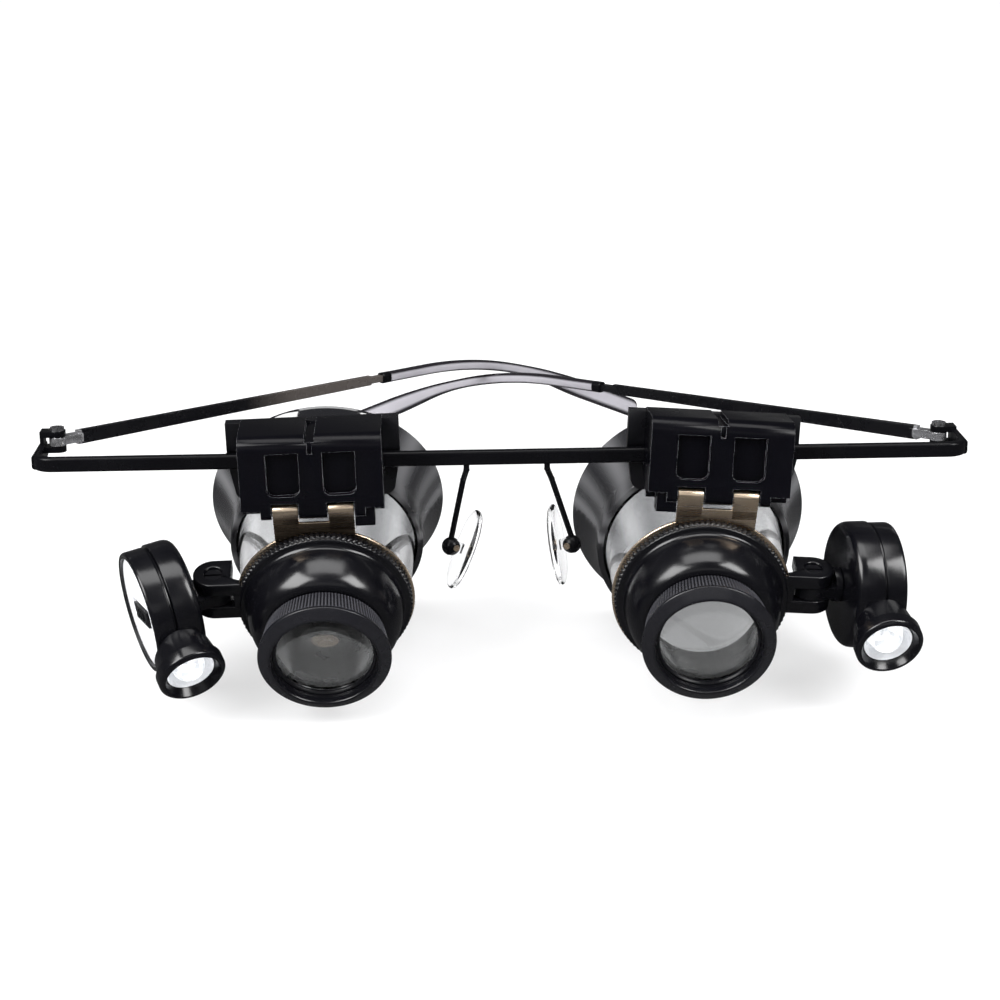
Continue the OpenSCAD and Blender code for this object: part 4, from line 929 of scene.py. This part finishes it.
def carried(u, height, thickness):
    """Carries a superellipse of those half sizes along the middle line at the distances u."""
    middle, a = temple_line(u)
    across, through = superellipse(full_turn(32), 2.8)
    normal = np.stack([np.sin(a), np.cos(a)], 1)
    flat = middle[:, None] + normal[:, None] * (height[:, None] * across)[..., None]
    return np.concatenate([flat, (thickness[:, None] * through)[..., None]], -1), False, True, True


def keep_edge_for_painted_shade(piece, side):
    """Keeps how far across the tip each point is, 0 in the middle and 1 at the edge, for a painted
    shade that darkens the edges.
    """
    local = local_points(piece, temple_pose(side))
    u = np.linspace(TIP_START, TEMPLE_LEN, 400)
    at = np.interp(local[:, 0], temple_line(u)[0][:, 0], u)
    middle, a = temple_line(at)
    across = ((local[:, :2] - middle) * np.stack([np.sin(a), np.cos(a)], 1)).sum(1)
    keep_value(piece, "edge", np.abs(across) / np.maximum(half_height(at), 0.3))


for side in SIDES:
    even = np.linspace(TIP_START + 0.5, TEMPLE_LEN - 2, 90)
    closing = TEMPLE_LEN - 2 * (1 - np.sin(np.linspace(0.05, np.pi / 2, 16)))
    u = np.concatenate([[TIP_START, TIP_START + 0.1], even, closing])
    shrink = np.where(u < TIP_START + 0.05, 0.93, 1.0)
    tip = carried(u, half_height(u) * shrink, TIP_T / 2 * round_end(u, TIP_T) * shrink)
    keep_edge_for_painted_shade(fitted(side, "sleeve_{}", [tip], TIP_SMOKE, "temple", "ear_tip", sharp=50.0), side)
    v = np.array([TIP_START - 0.5, TIP_START - 0.4, TIP_START + 1.1, TIP_START + 1.2])
    size = np.array([0.9, 1.02, 1.02, 0.9])
    collar = carried(v, TIP_H / 2 * size, TIP_T / 2 * size)
    fitted(side, "collar_{}", [collar], BAR_BLACK, "temple", sharp=30.0)

# %% [markdown]
# ## Nose pads
# A pad is a soft clear cushion with a crowned face: a closed shell over an oval outline, which
# shrinks slowly and then fast from the rim to the crown. A small tongue on its back holds it on the
# screw of the knob.

# %% Nose pads
PAD_LEN, PAD_W, PAD_T, PAD_FACE = 13.0, 6.5, 1.2, 1.4


def pad_grid():
    """x is the height over the back, and the outline in y and z is a superellipse of power 2.4,
    scaled by cos(h)^0.4 as the height is sin(h) times half the thickness."""
    h = np.radians(np.linspace(-90, 90, 25))[:, None]
    long, wide = superellipse(full_turn(72)[None, :], 2.4)
    size = np.abs(np.cos(h)) ** 0.4
    y, z = size * PAD_W / 2 * wide, size * PAD_LEN / 2 * long
    x = -PAD_FACE - PAD_T / 2 - PAD_T / 2 * np.sin(h) + 0 * y
    return np.stack([x, y, z], -1), False, True, False


def tongue_outline():
    half = arc(0.8, np.radians(np.linspace(90, -90, 20)))
    return np.concatenate([half, [[-1.7, -0.8], [-1.7, 0.8]]])


for side in SIDES:
    grids = [pad_grid(), plate(tongue_outline(), -0.55, 0.55, 0.15, normal="y")]
    fitted(side, "pad_{}", grids, PAD_CLEAR, "nose_pad", "nose_pad", sharp=60.0)

# %% [markdown]
# ## Temples
# A temple is painted black, but the leaf at its hinge is left as bare steel. The finish asks how
# far a point is from the hinge, and turns from steel to paint over a short way.

# %% Temple finish
GREY_END_SHARE, PAINT = {"left": 1.0, "right": 0.0}, (0.003, 0.003, 0.004)


def temple_finish(side):
    """Black paint that starts a short way from the hinge, brushed steel before it, and a lighter
    brownish grey towards the end of the left blade."""
    made, tree, shader = finish(f"temple_paint_{side}", PAINT, 0.25, Specular_IOR_Level=0.4)
    place = add(tree, "TexCoord").outputs["Object"]
    hinge = tuple((temple_pose(side)[:3, 3] / 1000).tolist())
    reach = add(tree, "VectorMath", {0: place, 1: hinge}, operation="DISTANCE").outputs["Value"]
    painted = remap(tree, reach, 0.0, 1.0, 0.0040, 0.0043)
    brushed = remap(tree, pattern(tree, 2600.0, 4.0, (0.3, 0.3, 1)), 0.0, 1.0)
    steel = blend_colors(tree, brushed, (0.40, 0.40, 0.42), (0.62, 0.62, 0.64))
    # A lighter brownish grey towards the end of the left blade.
    greyer_end = remap(tree, reach, 0.0, GREY_END_SHARE[side], 0.036, 0.046)
    paint = blend_colors(tree, greyer_end, PAINT, (0.060, 0.052, 0.048))
    wire(tree, shader, Base_Color=blend_colors(tree, painted, steel, paint),
         Metallic=remap(tree, painted, 0.9, 0.0, 0.0, 1.0),
         Roughness=remap(tree, pattern(tree, 300.0, 4.0), 0.2, 0.34))
    relief(tree, shader, pattern(tree, 1500.0, 2.0), 0.00002, 0.5)
    return made


for side in SIDES:
    softened(f"temple_{side}", f"blade_{side}", temple_finish(side), 0.18, f"temple_{side}")
softened("front_bar", "brow_bar", BAR_BLACK, 0.12, "frame")

# %% [markdown]
# ## Solids that stay
# What is left has the right shape as it is: wires, screws, pins, the coin cells and their contacts.
# Each gets its finish on its own material slot.

# %% Finishes for the solids that stay
KEPT = {"nose_arm": BAR_BLACK, "clip_screws": SCREW_STEEL, "hinge_pin": SCREW_STEEL,
        "lamp_pivot": PLATE_BLACK, "coin_cell": COVER_SILVER, "cell_contact": BRACKET_GOLD}


def dress(node, material):
    """Puts a finish on every material slot of a solid, and leaves its mesh alone."""
    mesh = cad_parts[node].data
    if not mesh.materials:
        mesh.materials.append(material)
    for k in range(len(mesh.materials)):
        mesh.materials[k] = material


for kind, material in KEPT.items():
    for side in SIDES:
        dress(f"{kind}_{side}", material)
dress("temple_screws", SCREW_STEEL)
dress("nose_screws", BRACKET_GOLD)
print("solids with a finish:", 2 * len(KEPT) + 2)

# %% [markdown]
# ## Table, backdrop and light
# The object stands on a white table in a white room. Seen by the camera or through glass, both are
# plain white, and part of the table's own shading is kept for the shadow. Black plastic would
# mirror so much white, so both are dim in reflections. Large lamps light the object softly from
# the front, both sides and above.

# %% Floor and world
MIRRORED, TABLE_R = 0.07, 3.0


def chosen(tree, plain, seen, mirrored):
    """One value for light on the object, one where the camera sees the thing, also through glass,
    and one in reflections. A ray through glass counts as glossy too, so it is taken off."""
    rays = add(tree, "LightPath").outputs
    through = rays["Is Transmission Ray"]
    is_seen = add(tree, "Math", {0: rays["Is Camera Ray"], 1: through}, operation="MAXIMUM")
    is_mirrored = add(tree, "Math", {0: rays["Is Glossy Ray"], 1: through}, operation="SUBTRACT",
                      use_clamp=True)
    value = remap(tree, is_seen.outputs[0], plain, seen, 0.0, 1.0)
    return remap(tree, is_mirrored.outputs[0], value, mirrored, 0.0, 1.0)


def white_floor():
    """A large white disc whose shading is partly plain white where it is seen, and mostly dim in
    reflections. Its own shading fades out away from the object, where no shadow falls."""
    made, tree, shader = finish("white_table", (0.86, 0.86, 0.87), 0.6)
    strength = chosen(tree, 1.0, 1.0, MIRRORED / 2)
    plain = add(tree, "Emission", {"Color": (1, 1, 1, 1), "Strength": strength})
    place = add(tree, "TexCoord").outputs["Object"]
    away = add(tree, "VectorMath", {0: place}, operation="LENGTH").outputs["Value"]
    share = chosen(tree, 0.0, remap(tree, away, 0.62, 1.0, 0.18, 0.6), 0.95)
    mix = add(tree, "MixShader", {0: share, 1: shader.outputs[0], 2: plain.outputs[0]})
    tree.links.new(mix.outputs[0], tree.nodes["Material Output"].inputs["Surface"])
    ring = np.pad(arc(TABLE_R, full_turn(64)), ((0, 0), (0, 1)))
    mesh = bpy.data.meshes.new("table_top")
    mesh.from_pydata(ring.tolist(), [], [list(range(len(ring)))])
    mesh.materials.append(made)
    return put("table_top", mesh)


def white_room():
    """A grey world for the light on the object, white where it is seen and dim in reflections."""
    world = bpy.data.worlds.new("room")
    world.use_nodes = True
    bpy.context.scene.world = world
    tree = world.node_tree
    background = tree.nodes["Background"]
    background.inputs["Color"].default_value = (1, 1, 1, 1)
    wire(tree, background, Strength=chosen(tree, 0.5, 1.0, MIRRORED))


white_floor()
white_room()
print("table and room are white")


# %% Lamps
def soft_lamp(name, place, aim, width, height, power):
    """A rectangular lamp at a place in metres, which faces the aim."""
    data = bpy.data.lights.new(name, "AREA")
    data.shape, data.size, data.size_y, data.energy = "RECTANGLE", width, height, power
    put(name, data).matrix_world = facing(place, np.subtract(place, aim))


soft_lamp("left_box", (-0.45, -0.28, 0.52), (0, 0, 0.02), 0.45, 0.40, 8.0)
soft_lamp("right_box", (0.45, -0.28, 0.52), (0, 0, 0.02), 0.28, 0.36, 5.0)
soft_lamp("top_box", (0.0, -0.02, 0.85), (0, 0, 0.02), 0.7, 0.4, 5.0)
soft_lamp("front_box", (0.0, -0.75, 0.48), (0, 0, 0.02), 0.8, 0.24, 0.35)
print("four soft lamps")
